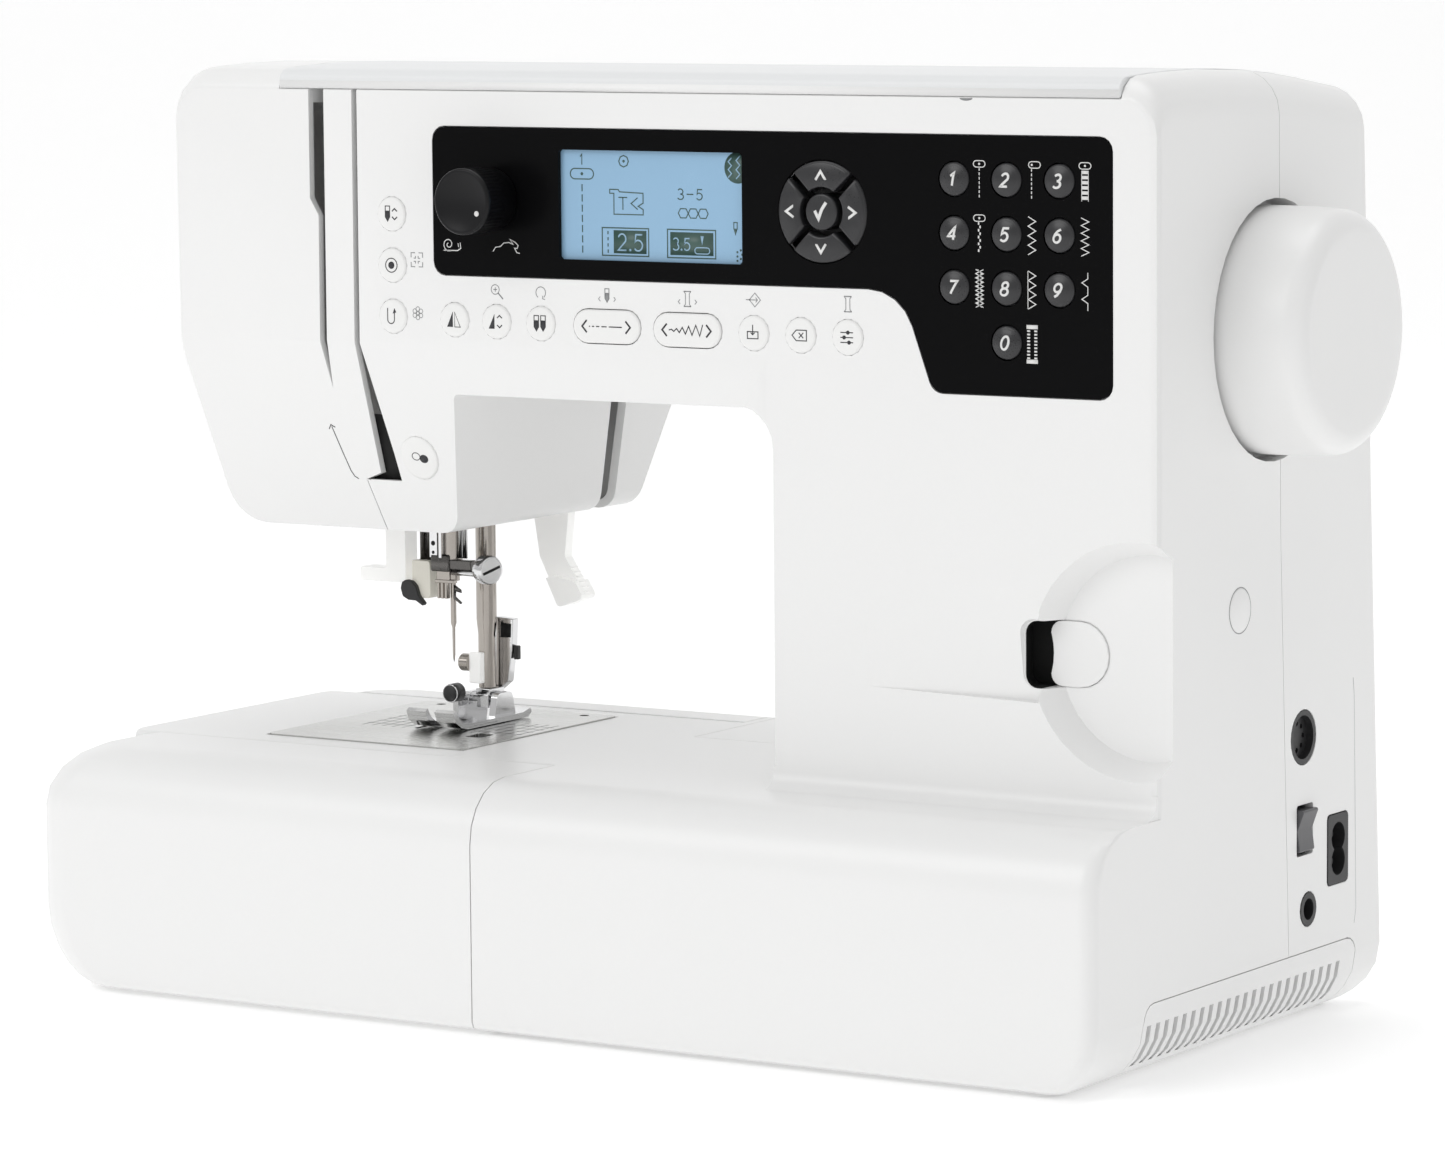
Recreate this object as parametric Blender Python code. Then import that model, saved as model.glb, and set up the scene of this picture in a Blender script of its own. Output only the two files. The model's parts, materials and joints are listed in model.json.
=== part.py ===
"""Computerised home sewing machine, built as an assembly of separate pieces.

Everything is drawn in millimetres in a drawing frame: X runs from left to right along the machine,
Y from the front face of the base to the back, Z up from the table. DATUM is the middle of the
machine's footprint in that frame; it becomes the world origin when a piece is finished in metres.
"""

import math

import bmesh
import bpy
from mathutils import Vector

MM = 0.001
DATUM = Vector((217.5, 95.0, 0.0))
GAP = 0.3
ROUND_STEPS = 14

# Overall shell
WALL = 2.6
SIDE_X = 400.0
FACE_Y = 40.2
BACK_Y = 190.0
BACK_LEAN = 0.0519
PARTING_Y = 119.0
BED_Z = 78.4
BED_SEAM_X = 182.0
TABLE_LEFT_X = 8.0
BED_ROLL = 19.0
BASE_BOTTOM_Z = 1.5

# Head, arm and column
HEAD_LEFT_X = 41.5
HEAD_RIGHT_X = 146.7
HEAD_BOTTOM_Z = 148.0
CREASE_Z = 209.7
FACET_SLOPE = 0.32
ARM_UNDER_Z = 194.0
COLUMN_LEFT_X = 266.8
CROWN_Z = 297.0
CROWN_Y = 80.0
CROWN_BEND = 0.00085
LID_LEFT_X = 84.0
LID_RIGHT_X = 388.0
LID_HINGE = (169.5, 287.0)

# Mechanism
NEEDLE = (105.0, 103.0)
PRESSER = (105.0, 122.0)
SHAFT = (114.8, 217.8)
MOTOR = (82.0, 100.0)
LOWER = (130.0, 46.0)
PULLEY_X = (318.0, 328.0)
MAIN_PULLEY_R = 24.0
MOTOR_PULLEY_R = 8.0
LOWER_PULLEY_R = 12.0
BEVEL_NEAR = 9.0
BEVEL_FAR = 15.0
LIFTER_PIVOT = (108.0, 162.0)
TAKE_UP_PIVOT = (88.0, 238.0)

# Controls on the front face
KNOB = (166.0, 256.0)
NAV = (286.2, 254.6)
NUMBER_FIRST = (331.9, 265.3)
NUMBER_PITCH = (17.8, 16.0)
NUMBER_R = 5.2
ROUND_R = 5.2
REVERSE_KEY = (128.5, 172.6)
RECESS = (393.0, 124.6)
SLIDER_X = (354.0, 379.1)
SLIDER_Z = (114.5, 134.8)
SLIDER_SQUARE_R = 4.0
SLIDER_ROUND_R = 9.9
SLIDER_TRAVEL = 6.6
SLIDER_UNDERCUT = 3.0

# Colour, roughness and metallic value of each kind of material
LOOKS = {
    "white": ((0.90, 0.90, 0.89), 0.38, 0.0),
    "lid": ((0.80, 0.81, 0.81), 0.35, 0.0),
    "key_white": ((0.88, 0.88, 0.87), 0.42, 0.0),
    "black": ((0.012, 0.012, 0.013), 0.22, 0.0),
    "key_black": ((0.05, 0.05, 0.055), 0.38, 0.0),
    "lcd": ((0.37, 0.60, 0.79), 0.15, 0.0),
    "steel": ((0.62, 0.62, 0.60), 0.28, 1.0),
    "chrome": ((0.80, 0.80, 0.80), 0.12, 1.0),
    "cast": ((0.55, 0.56, 0.57), 0.50, 1.0),
    "rubber": ((0.02, 0.02, 0.02), 0.80, 0.0),
}


# ---------------------------------------------------------------- shape tools


def mesh_object(verts, faces):
    """A new object from points and faces, with the faces turned outwards."""
    mesh = bpy.data.meshes.new("shape")
    mesh.from_pydata([tuple(point) for point in verts], [], faces)
    grid = bmesh.new()
    grid.from_mesh(mesh)
    bmesh.ops.recalc_face_normals(grid, faces=grid.faces)
    grid.to_mesh(mesh)
    grid.free()
    obj = bpy.data.objects.new("shape", mesh)
    bpy.context.scene.collection.objects.link(obj)
    return obj


def loft(rings):
    """A closed solid through rings of equal point count, capped at both ends."""
    count = len(rings[0])
    verts = [point for ring in rings for point in ring]
    faces = [tuple(range(count)), tuple(range(len(verts) - count, len(verts)))]
    for k in range(len(rings) - 1):
        low = k * count
        for i in range(count):
            j = (i + 1) % count
            faces.append((low + i, low + j, low + count + j, low + count + i))
    return mesh_object(verts, faces)


def on_axis(axis, a, b, t):
    """A point at t along an axis, with a and b on the other two axes in X, Y, Z order."""
    return {"X": (t, a, b), "Y": (a, t, b), "Z": (a, b, t)}[axis]


def prism(axis, outline, low, high):
    """An outline of (a, b) points extruded along an axis."""
    return loft([[on_axis(axis, a, b, t) for a, b in outline] for t in (low, high)])


def box(x, y, z):
    """A block from three (low, high) spans."""
    return prism("Z", [(x[0], y[0]), (x[1], y[0]), (x[1], y[1]), (x[0], y[1])], *z)


def rounded(corners, steps=4):
    """An outline from (a, b, radius) corners; a radius of 0 keeps a corner sharp."""
    points = []
    for i, (a, b, radius) in enumerate(corners):
        here = Vector((a, b))
        if radius <= 0:
            points.append((a, b))
            continue
        back = (Vector(corners[i - 1][:2]) - here).normalized()
        ahead = (Vector(corners[(i + 1) % len(corners)][:2]) - here).normalized()
        half = back.angle(ahead) / 2
        centre = here + (back + ahead).normalized() * (radius / math.sin(half))
        reach = radius / math.tan(half)
        first = here + back * reach - centre
        last = here + ahead * reach - centre
        start = math.atan2(first.y, first.x)
        sweep = math.atan2(last.y, last.x) - start
        sweep = (sweep + math.pi) % (2 * math.pi) - math.pi
        for k in range(steps + 1):
            angle = start + sweep * k / steps
            points.append((centre.x + radius * math.cos(angle), centre.y + radius * math.sin(angle)))
    return points


def frame_outline(a, b, radius, steps=4):
    """A rectangle from two (low, high) spans with rounded corners."""
    corners = [(a[0], b[0]), (a[1], b[0]), (a[1], b[1]), (a[0], b[1])]
    return rounded([(p, q, radius) for p, q in corners], steps)


def circle(centre, radius, steps=24):
    angles = [2 * math.pi * k / steps for k in range(steps)]
    return [(centre[0] + radius * math.cos(t), centre[1] + radius * math.sin(t)) for t in angles]


def turned(axis, centre, profile, steps=24):
    """A solid of revolution: profile is (radius, place along the axis); radius 0 is a pole."""
    verts = []
    rows = []
    for radius, place in profile:
        if radius == 0:
            rows.append([len(verts)] * steps)
            verts.append(on_axis(axis, *centre, place))
        else:
            rows.append(list(range(len(verts), len(verts) + steps)))
            verts += [on_axis(axis, a, b, place) for a, b in circle(centre, radius, steps)]
    faces = [tuple(row) for row in (rows[0], rows[-1]) if len(set(row)) > 1]
    for low, high in zip(rows, rows[1:]):
        for i in range(steps):
            j = (i + 1) % steps
            corners = [low[i], low[j], high[j], high[i]]
            faces.append(tuple(dict.fromkeys(corners)))
    return mesh_object(verts, faces)


def rod(axis, centre, radius, low, high, steps=16):
    return turned(axis, centre, [(radius, low), (radius, high)], steps)


def combine(target, tool, operation, keep=False):
    """Booleans the tool into the target at once, and drops the tool unless it is kept."""
    modifier = target.modifiers.new(operation, "BOOLEAN")
    modifier.operation = operation
    modifier.object = tool
    modifier.solver = "EXACT"
    shown = target.evaluated_get(bpy.context.evaluated_depsgraph_get())
    mesh = bpy.data.meshes.new_from_object(shown)
    target.modifiers.clear()
    target.data = mesh
    if not keep:
        bpy.data.objects.remove(tool)
    return target


def cut(target, *tools, keep=False):
    for tool in tools:
        combine(target, tool, "DIFFERENCE", keep)
    return target


def join(target, *tools):
    for tool in tools:
        combine(target, tool, "UNION")
    return target


def meet(target, tool, keep=False):
    return combine(target, tool, "INTERSECT", keep)


def copy(obj):
    twin = obj.copy()
    twin.data = obj.data.copy()
    bpy.context.scene.collection.objects.link(twin)
    return twin


def together(tools):
    """Cutters that don't touch each other, as one object for a single cut."""
    grid = bmesh.new()
    for tool in tools:
        grid.from_mesh(tool.data)
    mesh = bpy.data.meshes.new("shape")
    grid.to_mesh(mesh)
    grid.free()
    for tool in tools[1:]:
        bpy.data.objects.remove(tool)
    tools[0].data = mesh
    return tools[0]


def tidy_mesh(mesh):
    """Welds points a boolean left doubled, and keeps only the largest connected body."""
    grid = bmesh.new()
    grid.from_mesh(mesh)
    bmesh.ops.remove_doubles(grid, verts=grid.verts, dist=0.002)
    bmesh.ops.dissolve_degenerate(grid, dist=0.002, edges=grid.edges)
    left = set(grid.verts)
    bodies = []
    while left:
        stack = [left.pop()]
        body = set(stack)
        while stack:
            for edge in stack.pop().link_edges:
                for vert in edge.verts:
                    if vert in left:
                        left.remove(vert)
                        body.add(vert)
                        stack.append(vert)
        bodies.append(body)
    bodies.sort(key=len)
    loose = [vert for body in bodies[:-1] for vert in body]
    bmesh.ops.delete(grid, geom=loose, context="VERTS")
    bmesh.ops.recalc_face_normals(grid, faces=grid.faces)
    grid.to_mesh(mesh)
    grid.free()


def finish(obj, name, look, origin=None):
    """Names a piece, puts its origin on its joint's axis and scales it from millimetres."""
    tidy_mesh(obj.data)
    pivot = Vector(origin) if origin else DATUM
    for vert in obj.data.vertices:
        vert.co = (vert.co - pivot) * MM
    obj.location = (pivot - DATUM) * MM
    obj.name = name
    obj.data.name = name
    obj.data.shade_smooth()
    obj.data.set_sharp_from_angle(angle=math.radians(32))
    colour, roughness, metallic = LOOKS[look]
    material = bpy.data.materials.new(name)
    material.use_nodes = True
    shader = material.node_tree.nodes["Principled BSDF"]
    shader.inputs["Base Color"].default_value = (*colour, 1.0)
    shader.inputs["Roughness"].default_value = roughness
    shader.inputs["Metallic"].default_value = metallic
    obj.data.materials.clear()
    obj.data.materials.append(material)
    return obj


# ---------------------------------------------------------------- the body's outer form


def back_at(z):
    """The back face leans forward as it rises."""
    return BACK_Y - BACK_LEAN * max(z - 20, 0.0)


def leaned(point):
    """Moves a point behind the parting line with the leaning back."""
    x, y, z = point
    if y <= PARTING_Y:
        return point
    return (x, PARTING_Y + (y - PARTING_Y) * (back_at(z) - PARTING_Y) / (BACK_Y - PARTING_Y), z)


def crown(y, roll):
    """Height of the top over a real Y, with a roll of this radius down to the front face."""
    height = CROWN_Z - CROWN_BEND * (y - CROWN_Y) ** 2
    reach = FACE_Y + roll * 0.955 - y
    if reach > 0:
        height -= roll - math.sqrt(max(roll**2 - reach**2, 0.0))
    return height


def quarter(radius, depth):
    """Inset of a quarter-round edge at a depth from its end plane."""
    if depth >= radius:
        return 0.0
    return radius - math.sqrt(radius**2 - (radius - depth) ** 2)


def upper_ring(y, inset, drop, steps):
    """Front outline of head, arm and column at one depth, moved in by inset."""
    top = crown(leaned((0, y, CROWN_Z))[1], 9.0) - drop
    under = ARM_UNDER_Z + inset
    corners = [
        (SIDE_X - inset, 60.0, 0),
        (SIDE_X - inset, top, max(13 - inset, 2)),
        (HEAD_LEFT_X + inset, top, max(12 - inset, 2)),
        (HEAD_LEFT_X + inset + 0.6, CREASE_Z, 0),
        (50.5 + inset, HEAD_BOTTOM_Z + inset, max(13 - inset, 2)),
        (137.3 - inset, HEAD_BOTTOM_Z + inset, max(7 - inset, 2)),
        (HEAD_RIGHT_X - inset, under, 2 + inset),
        (COLUMN_LEFT_X + inset, under, 12 + inset),
        (COLUMN_LEFT_X + inset, 60.0, 0),
    ]
    return [leaned((x, y, z)) for x, z in rounded(corners, steps)]


def facet(offset):
    """The wedge that slopes the lower front of the head and arm back; it fades out at the column."""
    depth = 80.0
    low = CREASE_Z - depth
    profile = [
        (FACE_Y, CREASE_Z),
        (FACE_Y + FACET_SLOPE * depth, low),
        (FACE_Y - 20, low),
        (FACE_Y - 20, CREASE_Z),
    ]
    right = [(COLUMN_LEFT_X - 1 - 2.2 * (y - FACE_Y), y + offset, z) for y, z in profile]
    return loft([[(10, y + offset, z) for y, z in profile], right])


def head_back(offset):
    """The wedge that slopes the back of the head forward towards its bottom."""
    outline = [(181.5 - offset, 198), (162 - offset, 143), (230, 143), (230, 198)]
    return prism("X", outline, 10, 150)


def upper_body(inset):
    if inset:
        stations = [(FACE_Y + inset, inset), (180, inset), (185, inset + 1.34), (187.4, 7.4)]
        rings = [upper_ring(y, gap, 8.4 + (gap - inset), 3) for y, gap in stations]
    else:
        stations = [(FACE_Y, 2.4), (FACE_Y + 0.7, 0.7), (FACE_Y + 2.4, 0.0)]
        stations += [(45.5, 0.0), (49.5, 0.0), (65, 0.0), (85, 0.0), (119, 0.0), (150, 0.0), (187, 0.0)]
        rings = [upper_ring(y, gap, 0.0, 5) for y, gap in stations]
        for angle in (30, 60, 90):
            gap = 3 * (1 - math.cos(math.radians(angle)))
            rings.append(upper_ring(187 + 3 * math.sin(math.radians(angle)), gap, gap, 5))
    return cut(loft(rings), facet(inset * 1.02), head_back(inset))


def bed_ring(z, left, right, left_round, inset):
    """Plan outline of the base or the table at one height."""
    top = max(z - (BED_Z - BED_ROLL), 0.0)
    roll = BED_ROLL - math.sqrt(max(BED_ROLL**2 - top**2, 0.0))
    front = roll + quarter(3.0, z - BASE_BOTTOM_Z) + inset
    back_top = max(z - (BED_Z - 14.0), 0.0)
    back_roll = 14.0 - math.sqrt(max(14.0**2 - back_top**2, 0.0))
    back = BACK_Y - inset - quarter(14.0, z) - back_roll
    if left_round:
        side = left + quarter(27.0, z) + roll + inset
        corners = [(side, front, 15), (right, front, 0), (right, back, 0), (side, back, 15)]
    else:
        side = right - quarter(20.0, z) - inset
        corners = [(left, front, 0), (side, front, 5), (side, back, 3), (left, back, 0)]
    return [leaned((x, y, z)) for x, y in rounded(corners, 4)]


def bed_levels():
    low = [BASE_BOTTOM_Z, 2.6, 4.5, 8.0, 13.0, 20.0, 27.0]
    rise = [BED_Z - BED_ROLL + BED_ROLL * math.sin(math.radians(a)) for a in (0, 18, 36, 54, 72, 90)]
    return low + rise


def base_outer():
    """The base under the column, with the fillets where the column rises from it."""
    body = loft([bed_ring(z, BED_SEAM_X + 0.2, SIDE_X, False, 0.0) for z in bed_levels()])
    foot = rounded([(FACE_Y + 1, BED_Z - 1, 0), (FACE_Y + 1, BED_Z + 7, 0), (FACE_Y, BED_Z + 7, 0)])
    arc = [
        (FACE_Y - 6 + 6 * math.sin(math.radians(a)), BED_Z + 6 - 6 * math.cos(math.radians(a)))
        for a in (90, 68, 45, 22, 0)
    ]
    front = prism("X", foot + arc + [(FACE_Y - 6, BED_Z - 1)], COLUMN_LEFT_X + 0.5, SIDE_X - 0.4)
    return join(body, front)


def base_inner():
    levels = (BASE_BOTTOM_Z, 5, 10, 20, BED_Z - BED_ROLL, 66, 71)
    rings = [bed_ring(z, BED_SEAM_X + 2.8, SIDE_X, False, WALL) for z in levels]
    floor = [(x, y, -5.0) for x, y, _ in rings[0]]
    roof = [(x, y, BED_Z - WALL) for x, y, _ in bed_ring(77, BED_SEAM_X + 2.8, SIDE_X, False, WALL)]
    return loft([floor] + rings + [roof])


def arm_body(inset, right):
    """The free arm under the needle plate, a square tube with a rounded left end."""
    rings = []
    ends = ((14 + inset, 4 + inset), (15.2 + inset, 1.2 + inset), (18 + inset, inset), (right, inset))
    for x, gap in ends:
        corners = [
            (47 + gap, 17 + gap, 8),
            (160 - gap, 17 + gap, 8),
            (160 - gap, BED_Z - inset, 2),
            (47 + gap, BED_Z - inset, 2),
        ]
        rings.append([(x, y, z) for y, z in rounded(corners, 3)])
    return loft(rings)


def recess_cone(grow, deep):
    """The round recess beside the slider: wide at the face, narrower at its floor."""
    wide, narrow = 35.6 + grow, 30.8 + grow
    floor = 49.6 + deep
    profile = [(0, FACE_Y - 3), (wide + 1.5, FACE_Y - 3), (wide, FACE_Y), (narrow, floor), (0, floor)]
    return turned("Y", RECESS, profile, 40)


def shell():
    """The whole casing as one hollow shell, before it is parted into its mouldings."""
    outer = join(upper_body(0.0), base_outer(), arm_body(0.0, 200.0))
    inner = join(upper_body(WALL), base_inner(), arm_body(WALL, 210.0))
    pan = rod("Y", RECESS, 40.6, FACE_Y, 52.4, 24)
    wheel_pan = rod("X", SHAFT, 42.4, 388.4, 405, 24)
    scoop_pan = box((296, 362), (FACE_Y, 46.5), (104, 144))
    cut(inner, pan, wheel_pan, scoop_pan)
    cut(outer, inner)
    cut(outer, recess_cone(0.0, 0.0))
    cut(outer, rod("X", SHAFT, 39.8, 391.0, 410, 40))
    cut(outer, rod("X", SHAFT, 8.0, 380, 395, 12))
    scoop = loft([
        [(301, FACE_Y + 0.02, 112), (360, FACE_Y + 3.4, 110.5), (360, 30, 110.5), (301, 30, 112)],
        [(301, FACE_Y + 0.02, 138), (360, FACE_Y + 0.02, 142), (360, 30, 142), (301, 30, 138)],
    ])
    cut(outer, scoop)
    return outer


# ---------------------------------------------------------------- how the shell parts


def rear_region(gap):
    """Space of the rear moulding: behind the side seam, behind the head seam, and under the lid."""
    seam = [(117, 320), (119, 155), (125, 25), (125.4, -20), (320, -20), (320, 320)]
    region = prism("X", [(y - gap if y < 200 else y, z) for y, z in seam], -20, 450)
    head = [(100, 320), (138 - gap, 320), (138 - gap, 190), (148 - gap, 150), (149 - gap, 120), (100, 120)]
    cut(region, prism("X", head, -30, 170))
    cut(region, box((-30, BED_SEAM_X + 4.0 - gap), (100, 330), (-30, 120)))
    return join(region, box((122 - gap, 375 + gap), (57.7 - gap, 150), (254 - gap, 330)))


def cover_region(gap):
    """Space of the face cover: the head's left side and front up to the thread slot."""
    edge = [(113.4, 320), (113.4, 209.4), (112.4, 166), (105.8, 164.2), (110.0, 147.0), (111, 120)]
    outline = [(x + gap, z) for x, z in edge] + [(-20, 120), (-20, 320)]
    return prism("Y", outline, -20, 160)


def vent_region(gap):
    front, back, top = 31.8 - gap, 170.6 + gap, 24.3 + gap
    outline = rounded([(front, -9, 0), (back, -9, 0), (back, top, 6), (front, top, 6)])
    return prism("X", outline, 372 - gap, 420)


def slots_in_head():
    """The take-up slot, the thread slot, the gap for the lifter and the opening in the bottom."""
    take_up = [
        (95.6, 310), (101.5, 310), (101.4, 209), (100, 194.3), (98.7, 209), (98.9, 249.6), (95.6, 255),
    ]
    thread = [
        (112.4, 310), (114.4, 310), (114.2, 209), (118.7, 174), (119.6, 164.6), (105.6, 164.6),
        (112.0, 167), (112.2, 209),
    ]
    lifter = [(137.5, 188), (146.8, 188), (149.6, 150), (149.6, 142), (141.2, 142), (141.2, 150)]
    return [
        prism("Y", take_up, 20, 62),
        prism("Y", thread, 20, 62),
        prism("X", lifter, 126, 152),
        box((66, 128), (84, 140), (140, 153)),
        box((98, 140), (141.2, 147.4), (140, 153)),
    ]


def lid_seat(y):
    """Height of the casing under the lid."""
    return min(crown(y, 4.0) - 3.0, 289.3 + 0.6 * (y - FACE_Y))


LID_STATIONS = [FACE_Y, 40.9, 42.2, 44.2, 47.5, 56, 70, 85, 100, 118, 136, 154]


def lid_space():
    """Everything the lid and its hinge need above the casing."""
    seat = [(FACE_Y - 5, lid_seat(FACE_Y - 5))] + [(y, lid_seat(y)) for y in LID_STATIONS]
    hinge_y, hinge_z = LID_HINGE
    bowl = [
        (hinge_y + 2.7 * math.cos(math.radians(a)), hinge_z + 2.7 * math.sin(math.radians(a)))
        for a in (200, 245, 290, 335, 380)
    ]
    outline = seat + bowl + [(175, 300), (FACE_Y - 5, 320)]
    return prism("X", outline, LID_LEFT_X, LID_RIGHT_X)


def add_compartment(rear):
    """Joins the thread compartment under the lid to the rear casing, with its spool pin and winder."""
    tub = box((122.4, 374.6), (58, 167), (256, 300.0))
    cut(tub, lid_space())
    join(rear, tub)
    cut(rear, box((124.6, 372.4), (60.2, 165), (258.2, 320)))
    join(rear, box((199, 205), (108, 116), (257.0, 272)))
    join(rear, turned("X", (112, 274), [(0, 150), (3, 151), (3, 199.5), (8, 201), (8, 203), (0, 203)], 16))
    join(rear, turned("Z", (330, 100), [(9, 257.5), (9, 262), (3, 264), (3, 284), (0, 285)], 16))


def key_holes():
    """Openings in the front wall behind the panel and for each white key."""
    tools = [
        prism("Y", frame_outline((188.4, 260.0), (235.8, 274.0), 1.0, 1), 30, 60),
        rod("Y", KNOB, 4.5, 30, 60),
        rod("Y", NAV, 16.1, 30, 60, 24),
        prism("Y", frame_outline((324.5, 374.5), (225.5, 272.5), 3.0, 2), 30, 60),
        rod("Y", number_place(0), 6.2, 30, 60, 12),
    ]
    for _, (x, z), half in white_keys():
        if half:
            span = (x - half - 0.3, x + half + 0.3)
            tools.append(prism("Y", frame_outline(span, (z - 5.5, z + 5.5), 5.4, 4), 30, 60))
        else:
            tools.append(rod("Y", (x, z), ROUND_R + 0.4, 30, 60, ROUND_STEPS))
    return together(tools)


def panel_outline(inset):
    left, right, top, low, bottom = 143.5 + inset, 385 - inset, 278.3 - inset, 232 + inset, 201.6 + inset
    return rounded([
        (left, top, 4.5), (left, low, 4.5), (313.5 + inset, low, 16), (324.5 + inset, bottom, 5),
        (right, bottom, 4.5), (right, top, 4.5),
    ])


def facet_pocket():
    """Hole for the reversing key on the sloping lower front."""
    return rod("Y", REVERSE_KEY, 7.1, 30, 66, 20)


def slider_outline(x, z, grow):
    """The slider's slot or tab: nearly square at its left end, round at its right end."""
    square, end = SLIDER_SQUARE_R + grow, SLIDER_ROUND_R + grow
    left, right, low, high = x[0] - grow, x[1] + grow, z[0] - grow, z[1] + grow
    return rounded([(left, low, square), (right, low, end), (right, high, end), (left, high, square)], 5)


def slider_slot(casing):
    """Cuts the slider's slot, and the pocket that widens from it towards the front face."""
    pocket = [(36, 1.5), (43.0, 0.3)]
    rings = [[(x, y, z) for x, z in slider_outline(SLIDER_X, SLIDER_Z, grow)] for y, grow in pocket]
    behind = (SLIDER_X[0] - SLIDER_UNDERCUT, SLIDER_X[1])
    cut(casing, loft(rings), prism("Y", slider_outline(SLIDER_X, SLIDER_Z, 0.0), 41, 60))
    cut(casing, prism("Y", slider_outline(behind, SLIDER_Z, 0.0), 43.4, 60))


def casings():
    """Parts the shell into front casing, rear casing and face cover; returns the vent panel too."""
    whole = shell()
    cut(whole, *slots_in_head())
    cut(whole, lid_space())
    cut(whole, key_holes())
    cut(whole, prism("Y", panel_outline(-0.3), 30, 41.7))
    cut(whole, facet_pocket())
    cut(whole, box((59.7, 138.3), (59.7, 150.3), (77.0, 85)))
    cut(whole, box((66, 132), (70, 140), (60, 85)))
    cut(whole, box((79.9, 130.1), (40, 52), (23.9, 70.0)))
    slider_slot(whole)
    cut(whole, side_openings())
    cut(whole, box((175, 190), (49.5, 157.5), (-5, 6.5)))

    vent = meet(copy(whole), vent_region(0.0))
    cut(whole, vent_region(GAP))
    rear = meet(copy(whole), rear_region(0.0))
    cut(whole, rear_region(GAP))
    cover = meet(copy(whole), cover_region(0.0))
    cut(whole, cover_region(GAP))

    add_compartment(rear)
    finish(whole, "front_casing", "white")
    finish(rear, "rear_casing", "white")
    finish(cover, "face_cover", "white")
    return vent


def side_openings():
    """Holes in the right side for the sockets and the switch."""
    return together([
        rod("X", (134.5, 91.4), 8.7, 380, 410, 24),
        rod("X", (137.8, 37.6), 5.6, 380, 410, 16),
        prism("X", frame_outline((130, 141), (54.7, 70.6), 0.6, 1), 380, 410),
        prism("X", frame_outline((150.6, 165), (42.5, 65), 1.5, 2), 380, 410),
    ])


def bottom_tray(vent):
    """Floor of the machine with its feet and the slotted vent panel at the right side."""
    plan = rounded([
        (186, 5, 4), (386, 5, 10), (386, 179, 10), (186, 179, 4),
        (186, 157, 0), (31, 157, 8), (31, 50, 8), (186, 50, 0),
    ])
    tray = prism("Z", plan, 3.0, 6.0)
    for x in (42, 200, 372):
        for y in (64, 143) if x < 100 else (20, 165):
            join(tray, turned("Z", (x, y), [(0, 0), (7, 0), (8, 1), (8, 4.5), (0, 4.5)], 12))
    slots = []
    for k in range(23):
        y = 35.7 + k * (159.2 - 35.7) / 22
        slots.append(box((380, 410), (y - 1.3, y + 1.3), (5.5, 18.0)))
    cut(vent, together(slots))
    web = box((371.8, 390), (40, 156), (3.0, 5.4))
    join(tray, vent, web)
    finish(tray, "bottom_tray", "white")


def extension_table():
    """Slide-off table round the free arm, with the accessory box in its front."""
    outer = loft([bed_ring(z, TABLE_LEFT_X, BED_SEAM_X - 0.2, True, 0.0) for z in bed_levels()])
    for left, low, high in ((13.7, 16.4, 95), (29.6, -5, 16.4)):
        plan = rounded([(left, 46.7, 3), (230, 46.7, 0), (230, 160.3, 0), (left, 160.3, 3)], 2)
        cut(outer, prism("Z", plan, low, high))
    levels = (4.0, 8.0, 14.0, 27.0, 59.4, 66.0, 72.0, 75.4)
    hollow = loft([bed_ring(z, TABLE_LEFT_X, BED_SEAM_X - 2.6, True, 2.4) for z in levels])
    front = meet(copy(hollow), box((18, 200), (-10, 44.3), (5, 80)))
    back = meet(hollow, box((18, 179.4), (162.7, 220), (-5, 80)))
    window = box((24, 176), (43, 48), (9, 72))
    cut(outer, front, window, back)
    cut(outer, box((26, 174), (166, 180), (-5, 10)))
    finish(outer, "extension_table", "white", (BED_SEAM_X, 95, 40))


def top_lid():
    top = [(y, crown(y, 4.0)) for y in LID_STATIONS]
    seat = [(y, lid_seat(y) + 0.35) for y in LID_STATIONS]
    hinge_y, hinge_z = LID_HINGE
    knuckle = [
        (hinge_y + 2.0 * math.cos(math.radians(a)), hinge_z + 2.0 * math.sin(math.radians(a)))
        for a in (75, 30, -15, -60, -105, -150)
    ]
    outline = top + knuckle + list(reversed(seat))
    lid = prism("X", outline, LID_LEFT_X + GAP, LID_RIGHT_X - GAP)
    finish(lid, "top_lid", "lid", (217.5, hinge_y, hinge_z))


def needle_plate():
    plate = prism("Z", frame_outline((60, 138), (60, 150), 2.5, 2), 77.3, 78.8)
    holes = [
        prism("Z", frame_outline((100.8, 109.2), (101.4, 104.6), 1.5, 3), 70, 85),
        prism("Z", frame_outline((95.4, 99.6), (92.5, 120), 1.0, 1), 70, 85),
        prism("Z", frame_outline((110.4, 114.6), (92.5, 120), 1.0, 1), 70, 85),
        prism("Z", frame_outline((101.6, 108.4), (108, 120), 1.0, 1), 70, 85),
        prism("Z", frame_outline((121.8, 128.0), (84.2, 92.8), 0.8, 1), 70, 85),
        rod("Z", (70, 145), 1.6, 70, 85, 12),
        rod("Z", (128, 145), 1.6, 70, 85, 12),
    ]
    cut(plate, together(holes))
    finish(plate, "needle_plate", "steel")


def hook_door():
    door = box((80.3, 129.7), (47.0, 49.2), (25.0, 69.6))
    join(door, rod("X", (48.4, 26.0), 1.3, 80.3, 129.7, 10))
    finish(door, "hook_door", "white", (105, 48.4, 26.0))


# ---------------------------------------------------------------- controls


def number_place(digit):
    column, row = (1, 3) if digit == 0 else ((digit - 1) % 3, (digit - 1) // 3)
    return (NUMBER_FIRST[0] + column * NUMBER_PITCH[0], NUMBER_FIRST[1] - row * NUMBER_PITCH[1])


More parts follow.
